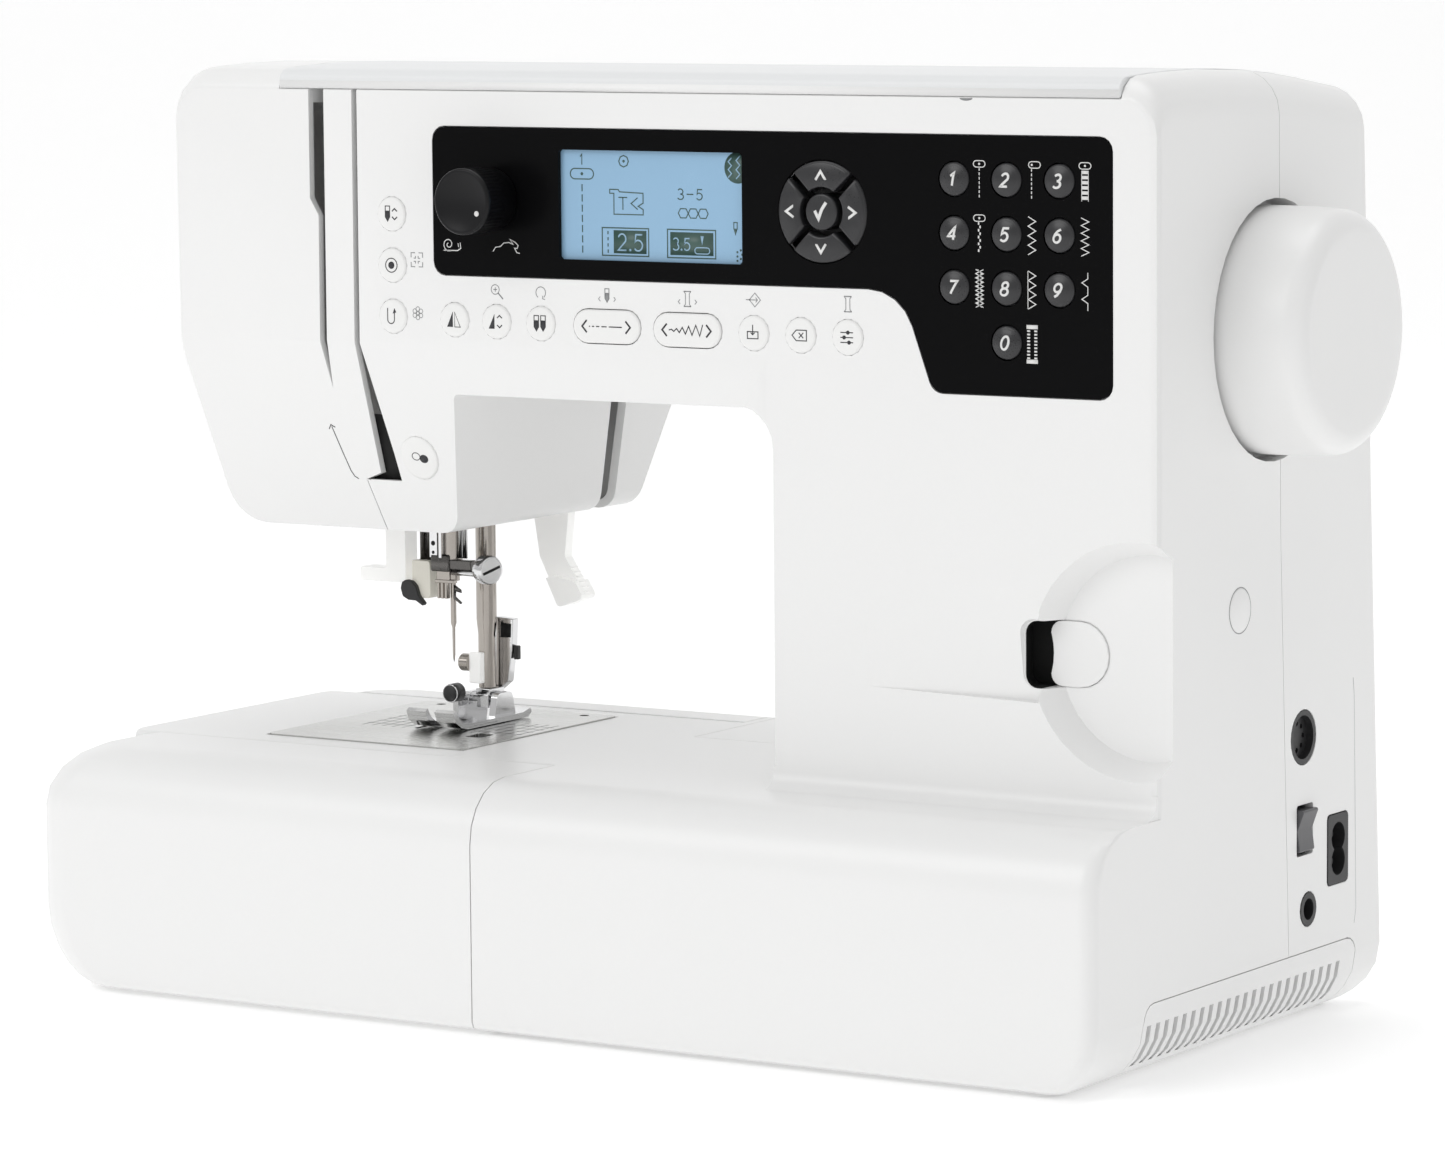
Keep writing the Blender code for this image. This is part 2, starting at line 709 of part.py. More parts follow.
def white_keys():
    """Name, place and half length of the keys on the white face; a half length of 0 is round."""
    keys = [("needle_position_key", (127.5, 250.6), 0), ("auto_stop_key", (127.5, 234.5), 0)]
    keys += [("hook_stitch_key", (127.5, 218.4), 0), ("mirror_key", (151.1, 218.0), 0)]
    keys += [("elongation_key", (167.0, 217.9), 0), ("twin_needle_key", (183.6, 217.8), 0)]
    keys += [("stitch_length_key", (208.2, 217.6), 12.3), ("stitch_width_key", (237.6, 217.4), 12.3)]
    keys += [("memory_key", (261.5, 217.3), 0), ("clear_key", (278.2, 217.2), 0)]
    keys += [("program_key", (294.8, 217.1), 0)]
    return keys


def dome_key(name, place, radius, front, back, look):
    profile = [(0, front), (radius * 0.7, front + 0.3), (radius, front + 1.2), (radius, back), (0, back)]
    finish(turned("Y", place, profile, ROUND_STEPS), name, look, (place[0], front, place[1]))


def sector(centre, inner, outer, middle, gap):
    """A quarter of a ring, with straight sides set back by half the gap."""
    points = []
    for radius, direction in ((inner, 1), (outer, -1)):
        half = math.radians(45) - math.asin(gap / 2 / radius)
        for k in range(6):
            angle = math.radians(middle) + direction * half * (k / 2.5 - 1)
            points.append((centre[0] + radius * math.cos(angle), centre[1] + radius * math.sin(angle)))
    return points


def control_panel():
    panel = prism("Y", panel_outline(0.0), 40.0, 41.4)
    holes = [
        prism("Y", frame_outline((190.8, 257.6), (238.0, 271.8), 0.8, 1), 30, 60),
        rod("Y", KNOB, 4.2, 30, 60),
        rod("Y", NAV, 15.8, 30, 60, 28),
    ]
    holes += [rod("Y", number_place(digit), NUMBER_R + 0.3, 30, 60, ROUND_STEPS) for digit in range(10)]
    cut(panel, together(holes))
    finish(panel, "control_panel", "black")


def display():
    """The LCD on its control board, which carries the contacts of all the keys above it."""
    glass = box((189.2, 259.2), (41.75, 44.0), (236.6, 273.2))
    join(glass, box((196, 252), (43.5, 47.5), (242, 268)), box((148, 381), (47.0, 48.6), (206, 276)))
    finish(glass, "lcd_screen", "lcd")


def keys():
    for digit in range(10):
        dome_key(f"number_key_{digit}", number_place(digit), NUMBER_R - 0.1, 38.7, 45.6, "key_black")
    dome_key("tick_key", NAV, 5.6, 38.6, 45.6, "key_black")
    for name, middle in (("right", 0), ("up", 90), ("left", 180), ("down", 270)):
        outline = sector(NAV, 7.4, 15.2, middle, 2.4)
        crest = [(NAV[0] + (x - NAV[0]) * 0.97, NAV[1] + (z - NAV[1]) * 0.97) for x, z in outline]
        levels = ((38.8, crest), (39.6, outline), (45.6, outline))
        rings = [[(x, y, z) for x, z in line] for y, line in levels]
        finish(loft(rings), f"arrow_key_{name}", "key_black", (NAV[0], 38.8, NAV[1]))
    for name, place, half in white_keys():
        if half:
            span = (place[0] - half, place[0] + half)
            low = frame_outline(span, (place[1] - 5.1, place[1] + 5.1), 5.0, 5)
            top = frame_outline((span[0] + 0.7, span[1] - 0.7), (place[1] - 4.4, place[1] + 4.4), 4.3, 5)
            levels = ((39.5, top), (40.1, low), (45.2, low))
            rings = [[(x, y, z) for x, z in line] for y, line in levels]
            finish(loft(rings), name, "key_white", (place[0], 43.5, place[1]))
        else:
            dome_key(name, place, ROUND_R, 39.4, 45.6, "key_white")
    x, z = REVERSE_KEY
    reverse = rod("Y", REVERSE_KEY, 6.8, 45, 62.0, 20)
    slope = [(30, z + 60), (30, z - 60), (FACE_Y + FACET_SLOPE * (CREASE_Z - z + 60) - 0.7, z - 60),
             (FACE_Y + FACET_SLOPE * (CREASE_Z - z - 60) - 0.7, z + 60)]
    cut(reverse, prism("X", slope, x - 20, x + 20))
    finish(reverse, "reverse_key", "key_white", (x, 52, z))


def speed_knob():
    radius, front, back = 10.35, 22.9, 39.0
    profile = [(0, front), (9.2, front), (10.0, front + 0.6), (radius, front + 1.7), (radius, back)]
    profile += [(3.6, back + 0.2), (3.6, 45.8), (0, 45.8)]
    finish(turned("Y", KNOB, profile, 32), "speed_knob", "black", (KNOB[0], 30, KNOB[1]))


def drop_feed_slider():
    left = SLIDER_X[0] - SLIDER_UNDERCUT + SLIDER_TRAVEL + 1.5
    tab = prism("Y", slider_outline((left, SLIDER_X[1]), SLIDER_Z, -0.32), 48.9, 51.9)
    cut(tab, rod("Y", (left - 20.8, sum(SLIDER_Z) / 2), 22.0, 40, 60, 48))
    finish(tab, "drop_feed_slider", "white", (373, 50, 125.4))


def power_switch():
    outline = rounded([
        (391.5, 56.4, 2), (400.9, 55.9, 0.6), (400.0, 62.65, 0), (402.4, 69.2, 0.6), (391.5, 68.9, 2),
    ], 2)
    finish(prism("Y", outline, 130.5, 140.5), "power_switch", "black", (395.5, 135.5, 62.65))


def sockets():
    inlet = prism("X", frame_outline((150.9, 164.7), (42.8, 64.7), 1.3, 2), 382, 400.3)
    well = [rod("X", (157.8, z), 4.6, 388, 410, 20) for z in (50.0, 57.5)]
    cut(inlet, *well)
    join(inlet, *[rod("X", (157.8, z), 1.1, 387, 398, 10) for z in (49.5, 58.0)])
    finish(inlet, "mains_inlet", "black")

    board = box((376.4, 378), (122, 146), (30, 103))
    join(board, rod("X", (134.5, 91.4), 8.4, 377, 399.9, 24), rod("X", (137.8, 37.6), 5.3, 377, 400.2, 20))
    cut(board, rod("X", (134.5, 91.4), 6.8, 397.6, 410, 24), rod("X", (137.8, 37.6), 3.4, 388, 410, 16))
    holes = []
    for k in range(5):
        angle = math.radians(45 * k - 90)
        place = (134.5 + 4.2 * math.cos(angle), 91.4 + 4.2 * math.sin(angle))
        holes.append(rod("X", place, 0.9, 392, 410, 8))
    cut(board, together(holes))
    finish(board, "socket_board", "black")


# ---------------------------------------------------------------- needle area


def needle_bar():
    """The bar with the clamp, its thumb screw and the needle guide."""
    x, y = NEEDLE
    bar = turned("Z", NEEDLE, [(0, 272), (2.6, 272), (3.2, 271), (3.2, 126), (0, 126)], 16)
    clamp = prism("Z", frame_outline((x - 6.2, x + 4.2), (y - 4.2, y + 4.2), 1.6, 2), 126.6, 134.6)
    tip = turned("Z", NEEDLE, [(2.9, 128), (2.9, 121.5), (2.0, 119), (0, 119)], 14)
    thumb = [(1.9, x + 2), (1.9, 114), (4.2, 114.2), (4.5, 115), (4.5, 118.4), (3.6, 119.3), (0, 119.3)]
    join(bar, clamp, tip, turned("X", (y, 130.4), thumb, 18))
    finish(bar, "needle_bar", "chrome", (x, y, 130))


def needle():
    profile = [(0, 118.7), (0.95, 118.7), (0.95, 113), (0.5, 111.5), (0.45, 102.5), (0, 99.8)]
    finish(turned("Z", NEEDLE, profile, 10), "needle", "chrome", (*NEEDLE, 110))


def needle_threader():
    """Rod, block and hooked lever of the threader, left of the needle bar."""
    y = NEEDLE[1]
    threader = rod("Z", (94.6, y), 2.5, 132, 186, 14)
    block = [(91, 134, 0.8), (91, 123, 0.8), (93, 118.6, 0.8), (98.2, 118.6, 0.8), (98.2, 134, 0.8)]
    lever = [
        (87.2, 124.5, 0.6), (87.2, 120, 0.6), (91.5, 118.2, 0.6),
        (96.5, 114.6, 0.6), (97.5, 117.8, 0.6), (92, 123.6, 0.6),
    ]
    join(threader, prism("Y", rounded(block, 2), y - 3.5, y + 3.5))
    join(threader, prism("Y", rounded(lever, 2), y - 5.2, y - 3.1))
    finish(threader, "needle_threader", "key_white", (94.6, y, 130))


def presser_bar():
    profile = [(0, 215), (4, 215), (4, 112), (3.5, 108), (3.5, 93.2), (0, 93.2)]
    finish(turned("Z", PRESSER, profile, 16), "presser_bar", "chrome", (*PRESSER, 130))


def foot_holder():
    """The ankle clamped to the presser bar, with its screw and the release lever behind."""
    x, y = PRESSER
    holder = box((97.4, 101.2), (y - 4.6, y + 4.6), (90.2, 104.5))
    join(holder, box((97.4, 110.6), (y - 5.6, y + 5.6), (88.9, 92.9)))
    join(holder, box((101, 109), (y - 4.6, y + 4.6), (83.2, 90)))
    screw = [(1.8, 98), (1.8, 94.2), (4.5, 94), (4.5, 90.8), (3.8, 90.2), (0, 90.2)]
    join(holder, turned("X", (y, 98.5), screw, 16))
    lever = rounded([
        (y + 4, 90.6, 0), (y + 9.5, 90.6, 1.5), (y + 10.8, 106, 1),
        (y + 7.6, 113, 0.8), (y + 5.6, 113, 0.8), (y + 5.2, 93, 0),
    ], 2)
    join(holder, prism("X", lever, 102.2, 107.8))
    cut(holder, rod("X", (y, 85.6), 1.4, 90, 120, 12))
    finish(holder, "foot_holder", "chrome", (x, y, 98))


def presser_foot():
    """The zigzag foot: a sole turned up at its toes, two ears, the cross pin and a lock button."""
    x, y = PRESSER
    sole = [
        (134, 80.6), (133.4, 82.0), (129, 80.9), (98, 80.9), (94.2, 81.6), (91.8, 83.4), (90.2, 86.0),
        (88.7, 85.2), (90.0, 82.0), (93.4, 79.9), (97, 79.1), (132, 79.1),
    ]
    slot = rounded([
        (103.2, 80, 0), (106.8, 80, 0), (106.8, 99, 0), (108.8, 101, 0),
        (108.8, 106.5, 1.5), (101.2, 106.5, 1.5), (101.2, 101, 0), (103.2, 99, 0),
    ], 3)
    foot = cut(prism("X", sole, 95.6, 114.4), prism("Z", slot, 70, 95))
    ear = rounded([(y - 6, 80, 0), (y + 6.5, 80, 0), (y + 4.5, 88.2, 2), (y - 4, 88.2, 2)], 3)
    join(foot, prism("X", ear, 98.2, 100.6), prism("X", ear, 109.4, 111.8))
    join(foot, rod("X", (y, 85.6), 1.0, 99, 111, 10))
    join(foot, box((98.4, 100.4), (111.5, 118), (80.5, 87.5)))
    join(foot, rod("Y", (99.2, 88.6), 3.0, 108.6, 113.4, 16))
    finish(foot, "presser_foot", "chrome", (x, y, 85.6))


def presser_foot_lifter():
    """Bent lever behind the presser bar, with a wider tab for the finger."""
    px, pz = LIFTER_PIVOT
    arm = rounded([
        (px - 5.6, pz + 6, 5), (px + 5.6, pz + 6, 5), (124.4, 147, 4), (122.8, 132, 2),
        (131.4, 118.6, 1.5), (121.2, 115, 1.5), (112.8, 131.6, 2), (110.4, 147, 4),
    ], 3)
    tab = rounded([
        (119.2, 125.6, 0), (128.0, 124.0, 0), (131.4, 118.6, 1.5), (121.2, 115, 1.5), (116.4, 124.6, 0),
    ], 3)
    lifter = join(prism("Y", arm, 142.2, 146.4), prism("Y", tab, 140.2, 148.4))
    finish(lifter, "presser_foot_lifter", "key_white", (px, 144.3, pz))


def buttonhole_lever():
    outline = rounded([
        (79, 176, 1), (79, 130, 0.8), (68.6, 130, 0.8), (68.6, 125.4, 0.8), (87, 125.4, 0.8), (87, 176, 1),
    ], 2)
    finish(prism("Y", outline, 101.6, 108.4), "buttonhole_lever", "key_white", (83, 105, 150))


def take_up_lever():
    py, pz = TAKE_UP_PIVOT
    outline = rounded([
        (py + 6, pz - 6, 5), (py + 6, pz + 6, 5), (58, 266, 3.4), (54, 261, 3.4), (py - 7, pz - 5, 5),
    ], 3)
    lever = cut(prism("X", outline, 98.9, 101.2), rod("X", (58.4, 262.0), 1.3, 90, 110, 10))
    finish(lever, "take_up_lever", "steel", (100, py, pz))


def feed_dog():
    """Two long toothed rows and a short one on a common bridge."""
    dog = box((95.9, 114.1), (108.6, 119.4), (70, 73))
    join(dog, box((96.0, 99.0), (93.2, 119.3), (70, 78.5)))
    join(dog, box((111.0, 114.0), (93.2, 119.3), (70, 78.5)))
    join(dog, box((102.2, 107.8), (108.7, 119.3), (72, 78.5)))
    finish(dog, "feed_dog", "steel", (105, 114, 74))


# ---------------------------------------------------------------- drive


def hull(points):
    """Convex hull of plane points, in order round the loop."""
    points = sorted(set(points))
    sides = []
    for run in (points, list(reversed(points))):
        side = []
        for point in run:
            while len(side) > 1 and (
                (side[-1][0] - side[-2][0]) * (point[1] - side[-2][1])
                - (side[-1][1] - side[-2][1]) * (point[0] - side[-2][0])
            ) <= 0:
                side.pop()
            side.append(point)
        sides.append(side[:-1])
    return sides[0] + sides[1]


def pulley(centre, radius, steps=20):
    low, high = PULLEY_X
    profile = [(0, low - 1.2), (radius + 2, low - 1.2), (radius + 2, low), (radius, low), (radius, high)]
    profile += [(radius + 2, high), (radius + 2, high + 1.2), (0, high + 1.2)]
    return turned("X", centre, profile, steps)


def main_shaft():
    """Upper shaft with the take-up crank at its left end and the belt's large pulley."""
    shaft = rod("X", SHAFT, 5.0, 112, 391.2, 16)
    crank = rod("X", SHAFT, 15.0, 111.6, 117, 28)
    pin = rod("X", (SHAFT[0] - 10, SHAFT[1]), 2.2, 109, 113, 12)
    join(shaft, crank, pin, pulley(SHAFT, MAIN_PULLEY_R))
    finish(shaft, "main_shaft", "steel", (217.5, *SHAFT))


def handwheel():
    start = 391.5
    rim = [(0, 0), (9, 0), (9, 2.6), (35.5, 2.6), (37.2, 3.6), (37.6, 6), (37.4, 22), (37.0, 29)]
    rim += [(36.0, 32.2), (34.2, 34.4), (31.4, 35.5), (0, 35.5)]
    wheel = turned("X", SHAFT, [(r, start + t) for r, t in rim], 36)
    finish(wheel, "handwheel", "white", (start, *SHAFT))


def motor():
    profile = [(0, 333), (7, 333), (7, 336), (21, 336), (22, 338), (22, 384), (20, 387), (0, 387)]
    can = turned("X", MOTOR, profile, 20)
    join(can, box((344, 378), (72, 92), (6.4, 84)))
    finish(can, "motor", "cast")


def motor_pulley():
    spindle = join(pulley(MOTOR, MOTOR_PULLEY_R, 20), rod("X", MOTOR, 2.5, 328, 332.6, 12))
    finish(spindle, "motor_pulley", "steel", (323, *MOTOR))


def drive_belt():
    """One toothed belt round the three pulleys."""
    low, high = PULLEY_X
    wheels = ((SHAFT, MAIN_PULLEY_R), (MOTOR, MOTOR_PULLEY_R), (LOWER, LOWER_PULLEY_R))
    outside = hull([p for centre, r in wheels for p in circle(centre, r + 2.0, 20)])
    inside = hull([p for centre, r in wheels for p in circle(centre, r + 0.4, 20)])
    belt = prism("X", outside, low + 0.4, high - 0.4)
    cut(belt, prism("X", inside, low - 5, high + 5))
    finish(belt, "drive_belt", "rubber")


def lower_shaft():
    """Lower shaft with its pulley, and a bevel wheel that turns the hook's."""
    near, far = BEVEL_NEAR, BEVEL_FAR
    low, high = PULLEY_X
    x = NEEDLE[0]
    rim = far - 0.6
    bevel = [(0, x + near), (near - 0.4, x + near), (rim, x + far), (rim, x + far + 1), (4, x + far + 2)]
    lower = turned("X", LOWER, bevel + [(4, low), (4, high + 4), (0, high + 4)], 16)
    join(lower, pulley(LOWER, LOWER_PULLEY_R, 16))
    finish(lower, "lower_shaft", "steel", (217.5, *LOWER))


def hook():
    """Rotary hook: a cup open towards the door, on a short shaft with its bevel wheel."""
    near, far = BEVEL_NEAR, BEVEL_FAR
    x = NEEDLE[0]
    y = LOWER[0]
    profile = [(0, 92), (2.4, 92), (2.4, 100), (13, 100), (13.8, 88.4), (16.2, 88.4), (17, 90), (17, 101)]
    profile += [(12, 104.6), (4, 104.6), (4, y - far - 2), (far - 0.6, y - far - 1), (far - 0.6, y - far)]
    profile += [(near - 0.4, y - near), (0, y - near)]
    finish(turned("Y", (x, LOWER[1]), profile, 20), "hook", "chrome", (x, 100, LOWER[1]))


def machine_frame():
    """The cast skeleton: a C-shaped plate at the back with bearing blocks reaching forward."""
    plan = rounded([
        (66, 243, 4), (66, 200, 4), (276, 200, 14), (276, 66, 6), (66, 66, 4), (66, 26, 4),
        (292, 26, 4), (292, 10, 2), (312, 10, 2), (312, 196, 14), (372, 200, 6), (372, 243, 4),
    ], 2)
    body = prism("Y", plan, 149.2, 155)
    blocks = [
        box((97, 113), (96, 151), (186, 194)),
        box((97, 113), (96, 151), (236, 242)),
        box((126, 138), (105, 151), (208, 228)),
        box((296, 308), (105, 151), (208, 228)),
        box((150, 160), (122, 151), (38, 54)),
        box((298, 308), (122, 151), (38, 54)),
    ]
    for block in blocks:
        join(body, block)
    holes = [
        rod("Z", NEEDLE, 3.5, 180, 250, 16),
        rod("Z", PRESSER, 4.3, 180, 200, 16),
        rod("X", SHAFT, 5.3, 120, 315, 16),
        rod("X", LOWER, 4.3, 145, 315, 16),
    ]
    cut(body, together(holes))
    finish(body, "machine_frame", "cast")


def build():
    for obj in list(bpy.data.objects):
        bpy.data.objects.remove(obj)
    vent = casings()
    bottom_tray(vent)
    extension_table()
    top_lid()
    needle_plate()
    hook_door()
    control_panel()
    display()
    keys()
    speed_knob()
    drop_feed_slider()
    power_switch()
    sockets()
    needle_bar()
    needle()
    needle_threader()
    presser_bar()
    foot_holder()
    presser_foot()
    presser_foot_lifter()
    buttonhole_lever()
    take_up_lever()
    feed_dog()
    main_shaft()
    handwheel()
    motor()
    motor_pulley()
    drive_belt()
    lower_shaft()
    hook()
    machine_frame()


build()
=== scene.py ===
"""Looks of the sewing machine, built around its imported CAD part.

Places are given in the drawing frame of the part, in millimetres: X from left to right, Y from the
front of the base to the back, Z up from the table. `at` turns them into metres in the row frame.
"""

import json
import math

import bmesh
import bpy
from mathutils import Matrix, Vector

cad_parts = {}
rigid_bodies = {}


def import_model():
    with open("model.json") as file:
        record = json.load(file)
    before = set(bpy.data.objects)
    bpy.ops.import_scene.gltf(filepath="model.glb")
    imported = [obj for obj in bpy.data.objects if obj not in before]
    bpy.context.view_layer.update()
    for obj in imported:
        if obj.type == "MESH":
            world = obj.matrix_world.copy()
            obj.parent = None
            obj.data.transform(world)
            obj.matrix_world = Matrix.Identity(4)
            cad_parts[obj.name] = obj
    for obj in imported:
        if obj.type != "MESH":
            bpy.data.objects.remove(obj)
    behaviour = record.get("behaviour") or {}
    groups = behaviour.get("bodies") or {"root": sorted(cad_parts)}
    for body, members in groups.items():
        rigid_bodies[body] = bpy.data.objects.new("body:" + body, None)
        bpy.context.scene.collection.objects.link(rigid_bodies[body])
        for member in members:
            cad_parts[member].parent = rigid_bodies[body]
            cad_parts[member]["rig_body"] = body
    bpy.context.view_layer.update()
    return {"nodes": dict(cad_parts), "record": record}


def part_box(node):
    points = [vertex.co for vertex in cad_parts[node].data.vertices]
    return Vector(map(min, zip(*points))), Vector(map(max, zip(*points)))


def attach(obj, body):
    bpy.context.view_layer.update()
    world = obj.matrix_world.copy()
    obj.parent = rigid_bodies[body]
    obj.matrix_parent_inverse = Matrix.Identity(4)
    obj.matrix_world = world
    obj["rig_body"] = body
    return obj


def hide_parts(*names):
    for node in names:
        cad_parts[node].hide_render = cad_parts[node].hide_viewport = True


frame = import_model()
NODES = frame["nodes"]

MM = 0.001
PANEL_LEFT_X = 143.5
PANEL_FRONT_Y = 40.0
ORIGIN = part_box("control_panel")[0] - Vector((PANEL_LEFT_X, PANEL_FRONT_Y, 0)) * MM
ORIGIN.z = 0.0
# How thick printed marks are, and how far a key's cap reaches past its CAD key.
INK = 0.05
KEY_GROW = 0.25

# The casing's front face, the height below which it slopes back and by how much, how far the
# reverse key stands out of it, and the casing's right side.
FACE_Y = 40.2
CREASE_Z = 209.7
FACET_SLOPE = 0.32
REVERSE_KEY_PROUD = 0.7
SIDE_X = 400.0


def at(x, y, z):
    """A point of the drawing frame, in metres in the row frame."""
    return Vector((x, y, z)) * MM + ORIGIN


def middle(node):
    """Middle of a CAD node's box, in the drawing frame."""
    low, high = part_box(node)
    return ((low + high) / 2 - ORIGIN) / MM


def span(node):
    """Lowest and highest corner of a CAD node, in the drawing frame."""
    return [(corner - ORIGIN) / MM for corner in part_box(node)]


# ---------------------------------------------------------------- materials


def add(tree, kind, **inputs):
    node = tree.nodes.new(kind)
    for name, value in inputs.items():
        node.inputs[name.replace("_", " ")].default_value = value
    return node


def material(name, slot, colour, rough, metallic=0.0, grain=900.0, mottle=0.02, relief=0.04,
             rough_spread=0.05, stretch=(1, 1, 1), cloud=14.0, **sockets):
    """A moulded, ground or cast surface: fine grain, slow drift of tone, and uneven gloss."""
    made = bpy.data.materials.new(name)
    made.use_nodes = True
    tree = made.node_tree
    link = tree.links.new
    shader = tree.nodes["Principled BSDF"]
    shader.inputs["Metallic"].default_value = metallic
    for socket, value in sockets.items():
        shader.inputs[socket.replace("_", " ")].default_value = value
    coords = tree.nodes.new("ShaderNodeTexCoord")
    place = add(tree, "ShaderNodeMapping", Scale=stretch)
    link(coords.outputs["Object"], place.inputs["Vector"])
    fine = add(tree, "ShaderNodeTexNoise", Scale=grain, Detail=5.0, Roughness=0.6)
    slow = add(tree, "ShaderNodeTexNoise", Scale=cloud, Detail=3.0, Roughness=0.5)
    link(place.outputs["Vector"], fine.inputs["Vector"])
    link(coords.outputs["Object"], slow.inputs["Vector"])
    blend = tree.nodes.new("ShaderNodeMath")
    blend.operation = "MULTIPLY_ADD"
    blend.inputs[1].default_value = 0.5
    link(fine.outputs["Fac"], blend.inputs[0])
    half = tree.nodes.new("ShaderNodeMath")
    half.operation = "MULTIPLY"
    half.inputs[1].default_value = 0.5
    link(slow.outputs["Fac"], half.inputs[0])
    link(half.outputs[0], blend.inputs[2])
    tone = tree.nodes.new("ShaderNodeMix")
    tone.data_type = "RGBA"
    tone.inputs["A"].default_value = (*[c * (1 - mottle) for c in colour], 1)
    tone.inputs["B"].default_value = (*[min(1.0, c * (1 + mottle)) for c in colour], 1)
    link(blend.outputs[0], tone.inputs["Factor"])
    link(tone.outputs["Result"], shader.inputs["Base Color"])
    gloss = add(tree, "ShaderNodeMapRange", From_Min=0.3, From_Max=0.7,
                To_Min=max(0.02, rough - rough_spread), To_Max=rough + rough_spread)
    link(blend.outputs[0], gloss.inputs["Value"])
    link(gloss.outputs["Result"], shader.inputs["Roughness"])
    bump = add(tree, "ShaderNodeBump", Strength=relief, Distance=0.0003)
    link(fine.outputs["Fac"], bump.inputs["Height"])
    link(bump.outputs["Normal"], shader.inputs["Normal"])
    return made


LOOKS = {look.name: look for look in (
    material("white_shell", "casing_white", (0.88, 0.88, 0.875), 0.36, IOR=1.46, Coat_Weight=0.15,
             Coat_Roughness=0.2),
    material("grey_lid", "lid_grey", (0.80, 0.81, 0.815), 0.36, IOR=1.46),
    material("white_key", "key_white", (0.88, 0.88, 0.87), 0.42, grain=1400.0),
    # The lever look glows a little (Emission): painted light that brightens the lifter, buttonhole lever and
    # holder clip in the shade under the head.
    material("lever", "lever_white", (0.90, 0.90, 0.885), 0.34, grain=1200.0,
             Emission_Color=(1, 0.995, 0.98, 1), Emission_Strength=0.27),
    # The clip look's faint glow (Emission) is painted light on the threader's cream block.
    material("clip", "lever_white", (0.80, 0.775, 0.69), 0.36, grain=1200.0, mottle=0.04,
             Emission_Color=(1, 0.97, 0.86, 1), Emission_Strength=0.08),
    material("black_panel", "panel_black", (0.0035, 0.0035, 0.0038), 0.24, grain=1500.0, mottle=0.2,
             relief=0.02, Specular_IOR_Level=0.05),
    material("black_knob", "panel_black", (0.006, 0.006, 0.007), 0.3, grain=1200.0, mottle=0.2,
             relief=0.03, Specular_IOR_Level=0.22),
    material("dark_key", "key_black", (0.022, 0.022, 0.024), 0.3, grain=1400.0, mottle=0.1,
             relief=0.03, Specular_IOR_Level=0.5),
    material("moulded_black", "socket_black", (0.02, 0.02, 0.021), 0.42, grain=1100.0, mottle=0.15),
    material("lcd", "lcd_glass", (0.27, 0.45, 0.63), 0.25, grain=4000.0, mottle=0.03, relief=0.01,
             cloud=30.0, Emission_Color=(0.37, 0.60, 0.82, 1), Emission_Strength=0.06),
    material("etched_steel", "plate_steel", (0.58, 0.58, 0.565), 0.26, 1.0, grain=420.0, mottle=0.08,
             relief=0.10, stretch=(0.06, 2.2, 1), rough_spread=0.09, Anisotropic=0.4),
    # Two darkened copies of the chrome, painted reflection: their dark brownish base colours stand in for the
    # dark surroundings reflected in the bars, rods and clamp. bright_nickel is the lightest copy.
    material("nickel", "chrome", (0.40, 0.37, 0.34), 0.18, 1.0, grain=500.0, mottle=0.10,
             relief=0.02, rough_spread=0.05),
    material("dark_nickel", "chrome", (0.13, 0.125, 0.12), 0.26, 1.0, grain=500.0, mottle=0.12,
             relief=0.04, rough_spread=0.06),
    material("bright_nickel", "chrome", (0.74, 0.74, 0.745), 0.12, 1.0, grain=700.0, mottle=0.05,
             relief=0.02, rough_spread=0.05),
    material("ground_steel", "shaft_steel", (0.58, 0.58, 0.56), 0.3, 1.0, grain=600.0, mottle=0.1,
             stretch=(0.2, 1, 1), relief=0.06),
    material("cast", "cast_metal", (0.5, 0.51, 0.52), 0.5, 1.0, grain=300.0, mottle=0.12, relief=0.3),
    material("belt", "belt_rubber", (0.02, 0.02, 0.02), 0.7, grain=500.0, mottle=0.2, relief=0.2),
    material("white_ink", "panel_black", (0.80, 0.80, 0.79), 0.5, grain=2500.0, mottle=0.05),
    material("dark_ink", "casing_white", (0.03, 0.03, 0.035), 0.5, grain=2500.0, mottle=0.1),
    material("grey_ink", "casing_white", (0.28, 0.285, 0.29), 0.5, grain=2500.0, mottle=0.1),
    material("lcd_ink", "lcd_glass", (0.055, 0.11, 0.095), 0.35, grain=3000.0, mottle=0.1),
    material("rocker", "socket_black", (0.085, 0.085, 0.09), 0.3, grain=1100.0, mottle=0.1),
    material("pale_ink", "casing_white", (0.62, 0.625, 0.63), 0.5, grain=2500.0, mottle=0.05),
    material("lcd_clear", "lcd_glass", (0.30, 0.48, 0.64), 0.3, grain=3000.0, mottle=0.05),
    # Black for real gaps, holes, slots and etched lines, and also for sheets of painted shade set behind
    # slots where the inside is in shade.
    material("black_gap", "socket_black", (0.006, 0.006, 0.006), 0.8, grain=900.0, mottle=0.3),
)}

NODE_LOOK = {
    "casing_white": "white_shell", "lid_grey": "grey_lid", "plate_steel": "etched_steel",
    "panel_black": "black_panel", "lcd_glass": "lcd", "key_black": "dark_key",
    "key_white": "white_key", "socket_black": "moulded_black", "chrome": "nickel",
    "lever_white": "lever", "shaft_steel": "ground_steel", "cast_metal": "cast",
    "belt_rubber": "belt",
}


OWN_LOOK = {"power_switch": "rocker", "foot_holder": "bright_nickel", "presser_foot": "bright_nickel"}


# ---------------------------------------------------------------- mesh tools


